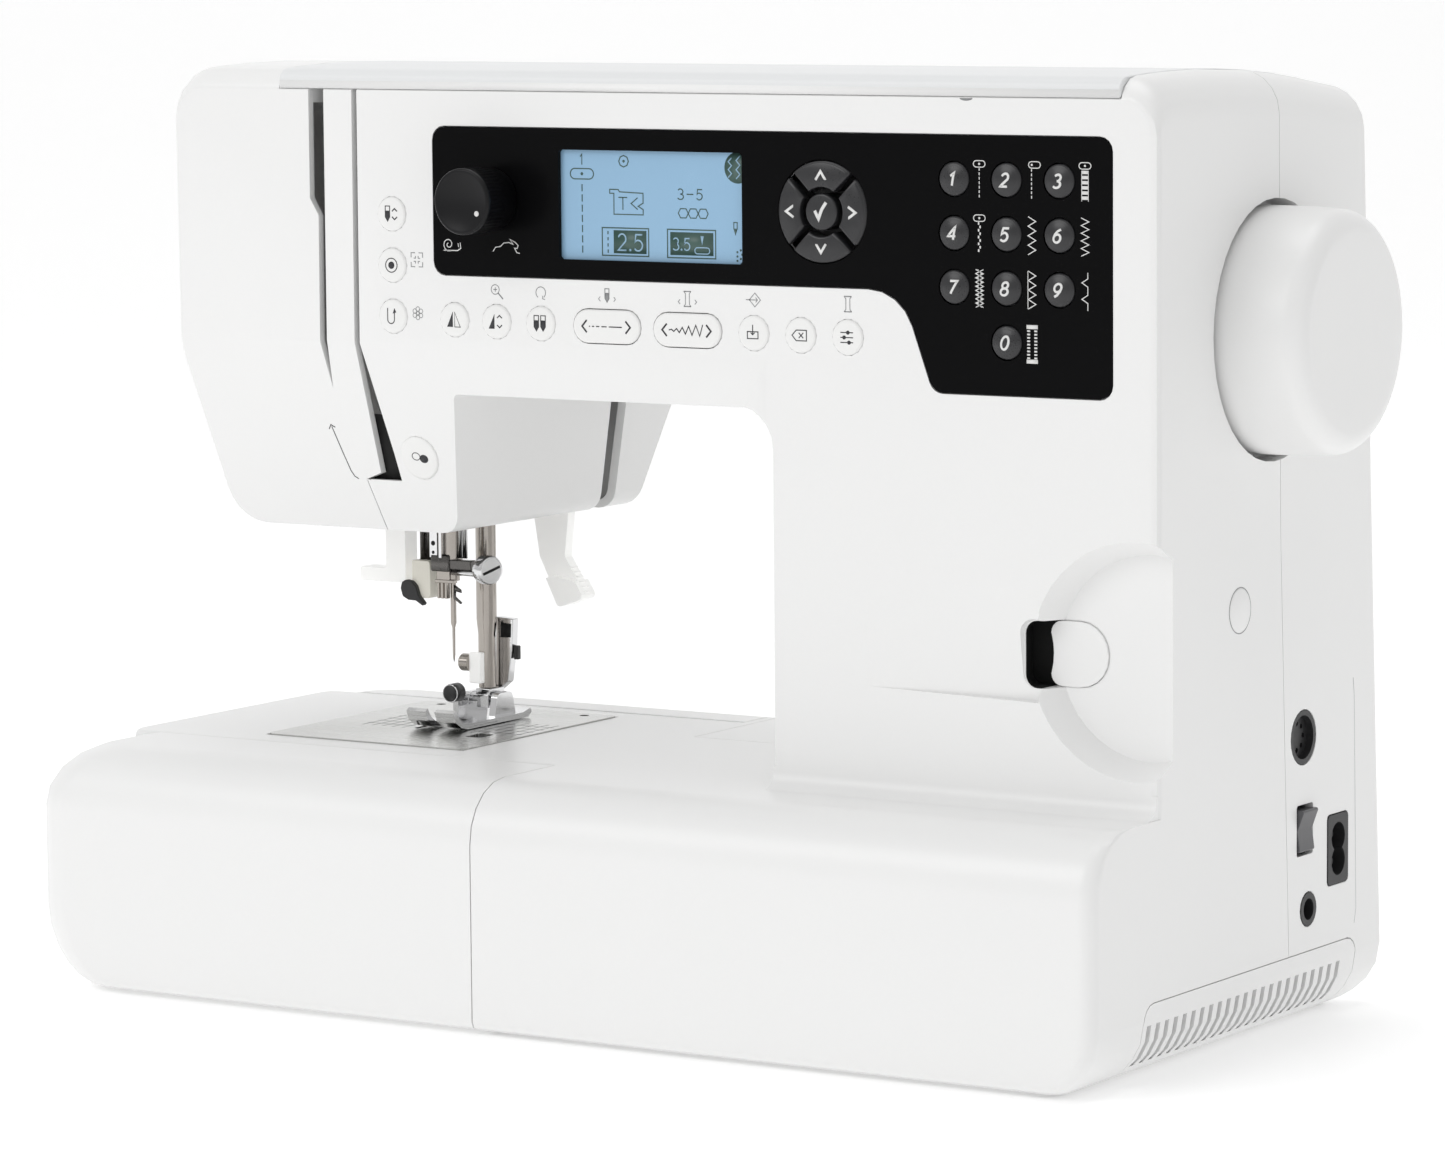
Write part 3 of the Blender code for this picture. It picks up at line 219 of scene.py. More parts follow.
def shading_group():
    """Geometry nodes that weld the imported faces and shade them smooth up to sharp edges."""
    group = bpy.data.node_groups.new("welded_shading", "GeometryNodeTree")
    group.interface.new_socket("Geometry", in_out="INPUT", socket_type="NodeSocketGeometry")
    group.interface.new_socket("Geometry", in_out="OUTPUT", socket_type="NodeSocketGeometry")
    start = group.nodes.new("NodeGroupInput")
    end = group.nodes.new("NodeGroupOutput")
    weld = group.nodes.new("GeometryNodeMergeByDistance")
    weld.inputs["Distance"].default_value = 2e-6
    forget = group.nodes.new("GeometryNodeRemoveAttribute")
    forget.inputs["Name"].default_value = "custom_normal"
    smooth = group.nodes.new("GeometryNodeSetShadeSmooth")
    group.links.new(start.outputs[0], weld.inputs["Geometry"])
    group.links.new(weld.outputs["Geometry"], forget.inputs["Geometry"])
    group.links.new(forget.outputs["Geometry"], smooth.inputs["Geometry"])
    group.links.new(smooth.outputs["Geometry"], end.inputs[0])
    return group


SHADING = shading_group()


def soften(obj, width=0.3, angle=32, segments=2, imported=True):
    """Rounds the sharp edges of a piece and evens out its shading."""
    if imported:
        obj.modifiers.new("weld", "NODES").node_group = SHADING
        flat = obj.modifiers.new("flat", "DECIMATE")
        flat.decimate_type = "DISSOLVE"
        flat.angle_limit = math.radians(0.4)
    bevel = obj.modifiers.new("edges", "BEVEL")
    bevel.width = width * MM
    bevel.segments = segments
    bevel.limit_method = "ANGLE"
    bevel.angle_limit = math.radians(angle)
    bevel.harden_normals = True
    shade = obj.modifiers.new("shade", "WEIGHTED_NORMAL")
    shade.mode = "FACE_AREA_WITH_ANGLE"
    shade.keep_sharp = True
    return obj


def piece(name, verts, faces, body, look, replaced=(), weld=False):
    """A new piece in metres, closed and facing outwards, riding on a CAD body."""
    mesh = bpy.data.meshes.new(name)
    mesh.from_pydata([tuple(v) for v in verts], [], faces)
    grid = bmesh.new()
    grid.from_mesh(mesh)
    if weld:
        bmesh.ops.remove_doubles(grid, verts=grid.verts, dist=1e-9)
    bmesh.ops.recalc_face_normals(grid, faces=grid.faces)
    for face in grid.faces:
        face.smooth = True
    grid.to_mesh(mesh)
    grid.free()
    obj = bpy.data.objects.new(name, mesh)
    bpy.context.scene.collection.objects.link(obj)
    mesh.materials.append(LOOKS[look])
    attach(obj, body)
    if replaced:
        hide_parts(*replaced)
    return obj


def soft_piece(name, shape, body, look, width, replaced=(), angle=32):
    """A new piece with its sharp edges rounded; shape is its (points, faces)."""
    return soften(piece(name, *shape, body, look, replaced), width, angle, imported=False)


def body_of(node):
    return NODES[node]["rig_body"]


def on_axis(axis, a, b, t):
    return {"X": (t, a, b), "Y": (a, t, b), "Z": (a, b, t)}[axis]


def revolve(axis, centre, profile, steps=64, ripple=None):
    """Points and faces of a solid of revolution; profile is (radius, place along the axis)."""
    verts, rings = [], []
    for radius, t in profile:
        if radius <= 0:
            verts.append(at(*on_axis(axis, centre[0], centre[1], t)))
            rings.append([len(verts) - 1])
            continue
        start = len(verts)
        for k in range(steps):
            angle = 2 * math.pi * k / steps
            r = radius + (ripple(k, radius, t) if ripple else 0)
            a, b = centre[0] + r * math.cos(angle), centre[1] + r * math.sin(angle)
            verts.append(at(*on_axis(axis, a, b, t)))
        rings.append(list(range(start, start + steps)))
    faces = []
    for one, two in zip(rings, rings[1:]):
        for k in range(steps):
            j = (k + 1) % steps
            if len(one) == 1:
                faces.append((one[0], two[k], two[j]))
            elif len(two) == 1:
                faces.append((one[k], one[j], two[0]))
            else:
                faces.append((one[k], one[j], two[j], two[k]))
    return verts, faces


def arc(centre, radius, start, end, steps):
    """Points round part of a circle, angles in degrees."""
    out = []
    for k in range(steps + 1):
        angle = math.radians(start + (end - start) * k / steps)
        out.append((centre[0] + radius * math.cos(angle), centre[1] + radius * math.sin(angle)))
    return out


def loft(rings):
    """Points and faces of a closed solid through rings of equal length."""
    count = len(rings[0])
    verts = [point for ring in rings for point in ring]
    faces = [tuple(range(count)), tuple(range(len(verts) - count, len(verts)))]
    for k in range(len(rings) - 1):
        low = k * count
        for i in range(count):
            j = (i + 1) % count
            faces.append((low + i, low + j, low + count + j, low + count + i))
    return verts, faces


def prism(axis, outline, low, high):
    """Points and faces of an outline of (a, b) points extruded along an axis."""
    return loft([[at(*on_axis(axis, a, b, t)) for a, b in outline] for t in (low, high)])


def merged(*shapes):
    """Several (points, faces) lists as one."""
    verts, faces = [], []
    for points, polygons in shapes:
        base = len(verts)
        verts += list(points)
        faces += [tuple(base + i for i in polygon) for polygon in polygons]
    return verts, faces


class Ink:
    """Marks printed on a face: thin closed solids gathered into one mesh."""

    def __init__(self, face, step=0.0):
        self.face = face
        self.step = step
        self.origin = (0.0, 0.0)
        self.verts = []
        self.faces = []

    def move(self, x, z):
        """Puts the marks that follow at a new origin."""
        self.origin = (x, z)
        return self

    def _grow(self, points, faces):
        base = len(self.verts)
        x, z = self.origin
        self.verts += [self.face(x + a, z + b, d) for a, b, d in points]
        self.faces += [tuple(base + i for i in face) for face in faces]

    def area(self, outline):
        count = len(outline)
        points = [(a, b, 0.0) for a, b in outline] + [(a, b, INK) for a, b in outline]
        faces = [tuple(range(count)), tuple(range(count, 2 * count))]
        faces += [(i, (i + 1) % count, count + (i + 1) % count, count + i) for i in range(count)]
        self._grow(points, faces)

    def _fine(self, path, closed):
        """The path with points added, so a long stroke follows a domed face."""
        ends = [Vector(p) for p in path]
        ends = ends + ends[:1] if closed else ends
        fine = []
        for start, end in zip(ends, ends[1:]):
            parts = max(1, math.ceil((end - start).length / self.step))
            fine += [start.lerp(end, k / parts) for k in range(parts)]
        return fine if closed else fine + ends[-1:]

    def line(self, path, width, closed=False):
        if self.step:
            path = self._fine(path, closed)
        count = len(path)
        spots = [Vector(p) for p in path]
        points = []
        for i, spot in enumerate(spots):
            into = spot - spots[i - 1] if closed or i else spots[1] - spot
            out = spots[(i + 1) % count] - spot if closed or i < count - 1 else into
            into, out = into.normalized(), out.normalized()
            along = into + out
            along = along.normalized() if along.length > 1e-6 else into
            across = Vector((-along.y, along.x))
            reach = width / 2 / max(0.45, abs(across.dot(Vector((-into.y, into.x)))))
            for side in (1, -1):
                q = spot + across * reach * side
                points += [(q.x, q.y, 0.0), (q.x, q.y, INK)]
        faces = []
        for i in range(count if closed else count - 1):
            a, b = 4 * i, 4 * ((i + 1) % count)
            faces += [(a, b, b + 1, a + 1), (a + 2, b + 2, b + 3, a + 3)]
            faces += [(a, b, b + 2, a + 2), (a + 1, b + 1, b + 3, a + 3)]
        if not closed:
            z = 4 * (count - 1)
            faces += [(0, 1, 3, 2), (z, z + 1, z + 3, z + 2)]
        self._grow(points, faces)

    def lines(self, paths, width):
        for path in paths:
            self.line(path, width)

    def disc(self, centre, radius, steps=28, squeeze=1.0):
        outline = arc((0, 0), radius, 0, 360 - 360 / steps, steps - 1)
        self.area([(centre[0] + a * squeeze, centre[1] + b) for a, b in outline])

    def ring(self, centre, radius, width, steps=36, squeeze=1.0):
        outline = arc((0, 0), radius, 0, 360 - 360 / steps, steps - 1)
        self.line([(centre[0] + a * squeeze, centre[1] + b) for a, b in outline], width, True)

    def patch(self, x, z):
        self.area([(x[0], z[1]), (x[1], z[1]), (x[1], z[0]), (x[0], z[0])])

    def frame(self, x, z, width):
        self.line([(x[0], z[0]), (x[1], z[0]), (x[1], z[1]), (x[0], z[1])], width, True)

    def made(self, name, body, look):
        return piece(name, self.verts, self.faces, body, look)


def front_face(y):
    """Marks on an upright face that looks forwards."""
    return lambda a, b, d: at(a, y - d, b)


def facet_face(proud):
    """Marks on the sloping lower front of the head."""
    lean = math.hypot(1, FACET_SLOPE)

    def face(a, b, d):
        y = FACE_Y + FACET_SLOPE * (CREASE_Z - b) - proud
        return at(a, y - d / lean, b - d * FACET_SLOPE / lean)

    return face


def side_face(a, b, d):
    return at(SIDE_X + d, a, b)


# ---------------------------------------------------------------- keys and knob


def crowned_key(node, look, crown, edge, grow=0.0):
    """A round key with a slightly domed top and a rounded rim; returns its printing face."""
    low, high = span(node)
    x, _, z = middle(node)
    radius = (high.x - low.x) / 2 + grow
    front = low.y
    flat = radius - edge
    profile = [(0, front)]
    profile += [(flat * k / 8, front + crown * (k / 8) ** 2) for k in range(1, 9)]
    profile += [(flat + edge * math.sin(a), front + crown + edge * (1 - math.cos(a)))
                for a in (math.radians(15 * k) for k in range(1, 7))]
    profile += [(radius, high.y), (0, high.y)]
    verts, faces = revolve("Y", (x, z), profile, 56)
    piece(node + "_cap", verts, faces, body_of(node), look, (node,))

    def face(a, b, d):
        away = (a - x) ** 2 + (b - z) ** 2
        return at(a, front + crown * away / flat**2 - d - 0.01, b)

    return (x, z), face


def stadium(x, z, half, height, steps):
    """A pill outline, as wide as 2 half and as high as height."""
    r = height / 2
    return arc((x + half - r, z), r, -90, 90, steps) + arc((x - half + r, z), r, 90, 270, steps)


def pill_key(node):
    low, high = span(node)
    x, _, z = middle(node)
    half, height = (high.x - low.x) / 2, high.z - low.z + 0.2
    edge = 0.7
    rings = []
    for k in range(7):
        a = math.radians(15 * k)
        inset = edge * (1 - math.sin(a))
        y = low.y + edge * (1 - math.cos(a))
        rings.append([at(p, y, q) for p, q in stadium(x, z, half - inset, height - 2 * inset, 18)])
    rings.append([at(p, high.y, q) for p, q in stadium(x, z, half, height, 18)])
    verts, faces = loft(rings)
    piece(node + "_cap", verts, faces, body_of(node), "white_key", (node,))
    return (x, z), front_face(low.y)


def chevron(ink, centre, size, turn, width, depth=0.9):
    """An open arrowhead pointing along an angle in degrees."""
    c, s = math.cos(math.radians(turn)), math.sin(math.radians(turn))
    back = size * depth / 2
    spots = [(-back, size), (back, 0), (-back, -size)]
    ink.line([(centre[0] + a * c - b * s, centre[1] + a * s + b * c) for a, b in spots], width)


def arrows(ink, reach, z, size, width):
    """Two chevrons that point away from each other."""
    chevron(ink, (-reach, z), size, 180, width)
    chevron(ink, (reach, z), size, 0, width)


def number_keys():
    wide, high, lean = 2.5, 3.9, 0.2
    for digit in range(10):
        node = f"number_key_{digit}"
        centre, face = crowned_key(node, "dark_key", 0.8, 1.0)
        ink = Ink(face, 0.4).move(*centre)
        numeral(ink, str(digit), -(wide + lean * high) / 2, -high / 2, wide, high, 0.72, lean)
        ink.made(node + "_numeral", body_of(node), "white_ink")


def arrow_keys():
    x, _, z = middle("tick_key")
    inner, outer = 7.4, 15.2
    for name, turn in (("right", 0), ("up", 90), ("left", 180), ("down", 270)):
        node = f"arrow_key_{name}"
        low, high = span(node)
        rings = []
        for depth, inset in ((0.0, 0.75), (0.12, 0.35), (0.4, 0.1), (0.8, 0.0), (high.y - low.y, 0.0)):
            outline = []
            for radius, way in ((inner + inset, 1), (outer - inset, -1)):
                half = math.radians(45) - math.asin((1.2 + inset) / radius)
                outline += [(radius, turn + way * math.degrees(half) * (k / 12 - 1)) for k in range(25)]
            dish = 0.5 if depth < 0.5 else 0.0
            ring = []
            for r, a in outline:
                y = low.y + depth + dish * ((r - inner) / (outer - inner)) ** 2
                ring.append(at(x + r * math.cos(math.radians(a)), y, z + r * math.sin(math.radians(a))))
            rings.append(ring)
        verts, faces = loft(rings)
        piece(node + "_cap", verts, faces, body_of(node), "dark_key", (node,))
        ink = Ink(front_face(low.y + 0.16))
        spot = (x + 10.9 * math.cos(math.radians(turn)), z + 10.9 * math.sin(math.radians(turn)))
        chevron(ink, spot, 1.75, turn, 0.8, 1.5)
        ink.made(node + "_mark", body_of(node), "white_ink")
    centre, face = crowned_key("tick_key", "dark_key", 0.4, 0.8)
    ink = Ink(face, 0.4).move(*centre)
    ink.line([(-1.9, 0.4), (-0.6, -2.0), (0.6, 0.8), (2.0, 2.9)], 1.05)
    ink.made("tick_key_mark", body_of("tick_key"), "white_ink")


def knob():
    node = "speed_knob"
    low, high = span(node)
    x, _, z = middle(node)
    radius = (high.x - low.x) / 2
    front, skirt = low.y, 39.0
    profile = [(0, front + 0.25), (radius - 1.7, front + 0.25), (radius - 1.25, front), (radius - 0.9, front)]
    profile += [(radius - 0.9 + 0.9 * math.sin(a), front + 0.9 - 0.9 * math.cos(a))
                for a in (math.radians(15 * k) for k in range(1, 7))]
    profile += [(radius, front + 1.6), (radius - 0.01, front + 2.0), (radius - 0.01, skirt - 6.2)]
    profile += [(radius - 0.5, skirt - 6.0), (radius - 0.5, skirt)]
    profile += [(3.6, skirt + 0.2), (3.6, high.y), (0, high.y)]

    def ribs(k, r, t):
        inside = r > radius - 0.02 and front + 1.9 < t < skirt - 6.1
        return -0.22 * (0.5 + 0.5 * math.cos(k * math.pi / 2)) if inside else 0.0

    verts, faces = revolve("Y", (x, z), profile, 192, ribs)
    piece("speed_knob_cap", verts, faces, body_of(node), "black_knob", (node,))
    ink = Ink(front_face(front + 0.25))
    ink.disc((x + 5.6, z - 3.6), 0.85)
    ink.made("speed_knob_dot", body_of(node), "white_ink")


# ---------------------------------------------------------------- marks on the white face


def needle_mark(ink, x, z, size):
    """A needle seen from the front: a dark shank with a pointed end."""
    w = 0.17 * size
    ink.line([(x - w, z + size * 0.5), (x + w, z + size * 0.5), (x + w, z + 0.18 * size),
              (x - w, z + 0.18 * size)], 0.28, True)
    w += 0.14
    ink.area([(x - w, z + 0.16 * size), (x + w, z + 0.16 * size), (x + w, z - 0.2 * size),
              (x, z - 0.5 * size), (x - w, z - 0.2 * size)])


def spool_mark(ink, z, size, width):
    """A spool seen from the side: two rims and a waisted middle."""
    h, w = size * 0.5, size * 0.28
    ink.line([(-w, z + h), (w, z + h)], width * 1.4)
    ink.line([(-w, z - h), (w, z - h)], width * 1.4)
    for side in (-w, w):
        waist = side * 0.55
        ink.line([(side, z + h), (waist, z + h * 0.7), (waist, z - h * 0.7), (side, z - h)], width)


def white_key_marks():
    inks = {}
    for name in ("needle_position", "auto_stop", "hook_stitch", "mirror", "elongation", "twin_needle",
                 "memory", "clear", "program"):
        centre, face = crowned_key(name + "_key", "white_key", 0.12, 0.9, KEY_GROW)
        inks[name] = Ink(face).move(*centre)
    ink = inks["needle_position"]
    needle_mark(ink, -1.2, 0, 5.0)
    chevron(ink, (1.5, 1.3), 0.95, 90, 0.38)
    chevron(ink, (1.5, -1.3), 0.95, 270, 0.38)
    ink = inks["auto_stop"]
    ink.disc((0, 0), 1.15)
    ink.ring((0, 0), 2.2, 0.3)
    ink = inks["hook_stitch"]
    ink.line([(-1.7, 2.6)] + arc((-0.4, -1.0), 1.3, 180, 360, 12) + [(0.9, 1.2)], 0.3)
    ink.area([(0.3, 0.9), (1.6, 1.3), (0.9, 2.6)])
    ink = inks["mirror"]
    ink.area([(-0.3, 2.6), (-0.3, -2.2), (-2.5, -2.2)])
    ink.line([(0.4, 2.4), (0.4, -2.2), (2.5, -2.2)], 0.22, True)
    ink = inks["elongation"]
    ink.area([(-0.4, 2.4), (-0.4, -2.2), (-2.6, -2.2)])
    chevron(ink, (1.5, 1.6), 0.9, 90, 0.34)
    chevron(ink, (1.5, -1.4), 0.9, 270, 0.34)
    ink = inks["twin_needle"]
    needle_mark(ink, -1.25, 0, 5.0)
    needle_mark(ink, 1.25, 0, 5.0)
    ink = inks["memory"]
    ink.frame((-1.9, 1.9), (-1.6, 0.5), 0.3)
    ink.line([(0, 2.6), (0, -0.3)], 0.3)
    chevron(ink, (0, -0.1), 0.7, 270, 0.3)
    ink = inks["clear"]
    ink.line([(-2.7, 0), (-1.2, 1.6), (2.4, 1.6), (2.4, -1.6), (-1.2, -1.6)], 0.3, True)
    ink.lines([[(-0.3, -0.8), (1.3, 0.8)], [(-0.3, 0.8), (1.3, -0.8)]], 0.3)
    ink = inks["program"]
    ink.lines([[(-2.2, k), (2.2, k)] for k in (-1.5, 0, 1.5)], 0.3)
    for k, shift in ((-1.5, 0.8), (0, -0.9), (1.5, 0.4)):
        ink.disc((shift, k), 0.62, 16)
    for name, ink in inks.items():
        ink.made(name + "_key_mark", body_of(name + "_key"), "dark_ink")


def pill_key_marks():
    dashes = ((-6.3, -5.9), (-5.2, -4.4), (-3.7, -2.5), (-1.7, 0.2), (1.0, 5.8))
    lines = [[(a, 0), (b, 0)] for a, b in dashes]
    wave = [(-6.4, 0), (-5.4, 0.2), (-4.6, -0.4), (-3.6, 0.5), (-2.6, -0.7), (-1.5, 0.9), (-0.4, -1.1),
            (0.8, 1.3), (2.0, -1.4), (3.4, 1.7), (4.8, -1.6), (5.9, 1.9)]
    for node, paths in (("stitch_length_key", lines), ("stitch_width_key", [wave])):
        centre, face = pill_key(node)
        ink = Ink(face).move(*centre)
        arrows(ink, 8.0, 0, 1.9, 0.55)
        ink.lines(paths, 0.34)
        ink.made(node + "_mark", body_of(node), "dark_ink")


def casing_marks():
    """Small grey symbols printed above and beside the white keys."""
    ink = Ink(front_face(FACE_Y))
    row = middle("mirror_key").z + 9.4

    def above(node):
        ink.move(middle(node).x, row)

    above("elongation_key")
    ink.ring((-0.5, 0.5), 1.5, 0.24)
    ink.lines([[(-1.2, 0.5), (0.2, 0.5)], [(-0.5, -0.2), (-0.5, 1.2)]], 0.24)
    ink.line([(0.6, -0.6), (2.4, -2.4)], 0.4)
    above("twin_needle_key")
    ink.line(arc((0, 0), 1.8, 235, -50, 22), 0.24)
    chevron(ink, (0.9, -1.7), 0.7, 215, 0.24)
    above("stitch_length_key")
    needle_mark(ink, 0, -0.3, 4.4)
    arrows(ink, 2.8, -1.3, 0.7, 0.24)
    above("stitch_width_key")
    spool_mark(ink, -0.4, 4.6, 0.24)
    arrows(ink, 3.0, -1.3, 0.7, 0.24)
    above("memory_key")
    ink.line([(-1.6, 0), (0.4, 2.1), (2.4, 0), (0.4, -2.1)], 0.24, True)
    ink.line([(-2.8, 0), (1.2, 0)], 0.24)
    chevron(ink, (1.0, 0), 0.7, 0, 0.24)
    above("program_key")
    spool_mark(ink, -0.3, 4.6, 0.24)
    x, _, z = middle("auto_stop_key")
    ink.move(x + 9.3, z + 1.9)
    for a in (-1, 1):
        for b in (-1, 1):
            ink.line([(a * 0.7, b * 2.2), (a * 2.2, b * 2.2), (a * 2.2, b * 0.7)], 0.26)
            ink.line([(a * 1.2, b * 0.5), (a * 0.5, b * 0.5), (a * 0.5, b * 1.2)], 0.26)
    x, _, z = middle("hook_stitch_key")
    ink.move(x + 9.4, z + 1.2)
    for petal in arc((0, 0), 1.35, 30, 330, 5):
        ink.ring(petal, 0.7, 0.2, 16)
    ink.ring((0, 0), 0.5, 0.2, 16)
    ink.made("casing_symbols", "machine", "grey_ink")

    ink = Ink(facet_face(0.0))
    ink.line([(96.2, 181.6), (98.4, 173.4), (100.2, 167.2), (101.2, 165.4), (102.6, 164.6)], 0.3)
    chevron(ink, (96.1, 181.6), 1.3, 105, 0.3)
    ink.made("threading_arrow", "machine", "dark_ink")

    x, _, z = middle("reverse_key")
    ink = Ink(facet_face(REVERSE_KEY_PROUD)).move(x, z)
    ink.ring((-0.9, 0.5), 1.2, 0.24, 24, 1.25)
    ink.disc((2.0, -0.2), 1.35, 24, 1.2)
    ink.made("reverse_key_mark", body_of("reverse_key"), "dark_ink")


# ---------------------------------------------------------------- panel and display marks


def stitch_symbols(ink):
    """Stitch patterns printed beside the number keys."""
    up, down, top = 5.4, -5.8, 3.4

    def foot(x, shift=0.0):
        ink.line(stadium(x, 4.6, 2.0, 1.9, 6), 0.26, True)
        ink.disc((x + shift, 4.6), 0.35, 12)

    def zigzag(half, steps):
        rise = (up - down) / steps
        ink.line([(half if k % 2 else -half, up - rise * k) for k in range(steps + 1)], 0.28)

    def dashes(x):
        rise = (top - down) / 7
        ink.lines([[(x, top - rise * k), (x, top - rise * (k + 0.62))] for k in range(7)], 0.3)

    for digit in range(10):
        x, _, z = middle(f"number_key_{digit}")
        ink.move(x + 8.6, z)
        if digit == 1:
            foot(0)
            dashes(0)
        elif digit == 2:
            foot(0.9, -0.9)
            dashes(-0.1)
        elif digit == 3:
            foot(0)
            for k in range(6):
                ink.patch((-1.0, 1.0), (2.2 - 1.5 * k, 3.2 - 1.5 * k))
            ink.lines([[(a, 3.2), (a, down)] for a in (-1.1, 1.1)], 0.2)
        elif digit == 4:
            foot(0)
            for k in range(9):
                a = 0.25 if k % 2 else -0.25
                ink.line([(a, top - k), (a, 2.6 - k)], 0.5)
        elif digit in (5, 6):
            zigzag(1.3, 8 if digit == 5 else 10)
        elif digit == 7:
            for half in (1.3, -1.3, 0.7):
                zigzag(half, 9)
        elif digit == 8:
            zigzag(1.3, 8)
            ink.line([(-1.4, up), (-1.4, down)], 0.24)
        elif digit == 9:
            ink.line([(0.9, up), (0.9, 3.6), (-1.1, 2.4), (0.9, 1.2), (0.9, -1.2), (-1.1, -2.4), (0.9, -3.6),
                      (0.9, down)], 0.26)
        else:
            for k in range(9):
                ink.lines([[(side * 1.7, 3.7 - k), (side * 0.7, 3.7 - k)] for side in (-1, 1)], 0.5)
            for b in (4.9, -5.3):
                ink.patch((-1.9, 1.9), (b - 0.6, b + 0.6))


def panel_marks():
    """The stitch patterns, and a slow and a fast mark under the speed knob."""
    ink = Ink(front_face(PANEL_FRONT_Y))
    stitch_symbols(ink)
    x, _, z = middle("speed_knob")
    ink.move(x - 16.8, z - 14.4)
    coil = [(0.35 * k / 3 * math.cos(k * 0.6), 0.35 * k / 3 * math.sin(k * 0.6)) for k in range(3, 20)]
    ink.line(coil, 0.26)
    ink.line([(-1.9, -1.9), (3.4, -1.9), (4.6, -1.2), (4.4, 0.6)], 0.28)
    ink.line([(3.6, 0.4), (3.8, -0.8)], 0.24)
    ink.move(x + 3.2, z - 14.0)
    hare = [(-3.2, -2.2), (-2.2, -0.9), (-0.4, -0.6), (0.9, 0.5), (2.9, 0.7), (4.4, 0.1), (3.2, 1.7),
            (5.2, 0.8), (6.3, -0.2), (5.9, -1.1), (4.9, -1.0), (5.8, -2.4), (6.9, -2.6)]
    ink.line(hare, 0.28)
    ink.made("panel_symbols", "machine", "white_ink")


def bow(centre, wide, high, start, end, steps=12):
    """Points on part of an ellipse, angles in degrees."""
    return [(centre[0] + a * wide, centre[1] + b * high) for a, b in arc((0, 0), 1, start, end, steps)]


SIX = [(0.82, 0.99), (0.45, 0.86), (0.14, 0.58), (0.04, 0.36)]
NUMERALS = {
    "0": [bow((0.5, 0.5), 0.48, 0.5, 90, 450, 24)],
    "1": [[(0.22, 0.74), (0.62, 0.98), (0.62, 0.0)]],
    "2": [bow((0.5, 0.7), 0.44, 0.3, 160, -30) + [(0.04, 0.02), (0.98, 0.02)]],
    "3": [bow((0.46, 0.75), 0.42, 0.25, 150, -90), bow((0.46, 0.26), 0.5, 0.26, 90, -150)],
    "4": [[(0.74, 0.0), (0.74, 0.98), (0.0, 0.28), (1.0, 0.28)]],
    "5": [[(0.94, 0.98), (0.2, 0.98), (0.12, 0.54)] + bow((0.46, 0.32), 0.5, 0.32, 125, -145)],
    "6": [bow((0.5, 0.31), 0.46, 0.31, 90, 450, 20), SIX],
    "7": [[(0.02, 0.98), (0.98, 0.98), (0.36, 0.0)]],
    "8": [bow((0.5, 0.76), 0.38, 0.23, 90, 450, 20), bow((0.5, 0.27), 0.48, 0.27, 90, 450, 20)],
    "9": [bow((0.5, 0.69), 0.46, 0.31, 90, 450, 20), [(1 - a, 1 - b) for a, b in SIX]],
}


def numeral(ink, text, x, z, w, h, width, lean=0.0):
    """A numeral drawn in strokes, w wide and h high, from its lower left corner."""
    for path in NUMERALS[text]:
        spots = [(x + a * w + lean * b * h, z + b * h) for a, b in path]
        closed = (Vector(spots[0]) - Vector(spots[-1])).length < 0.01 * w
        ink.line(spots[:-1] if closed else spots, width, closed)


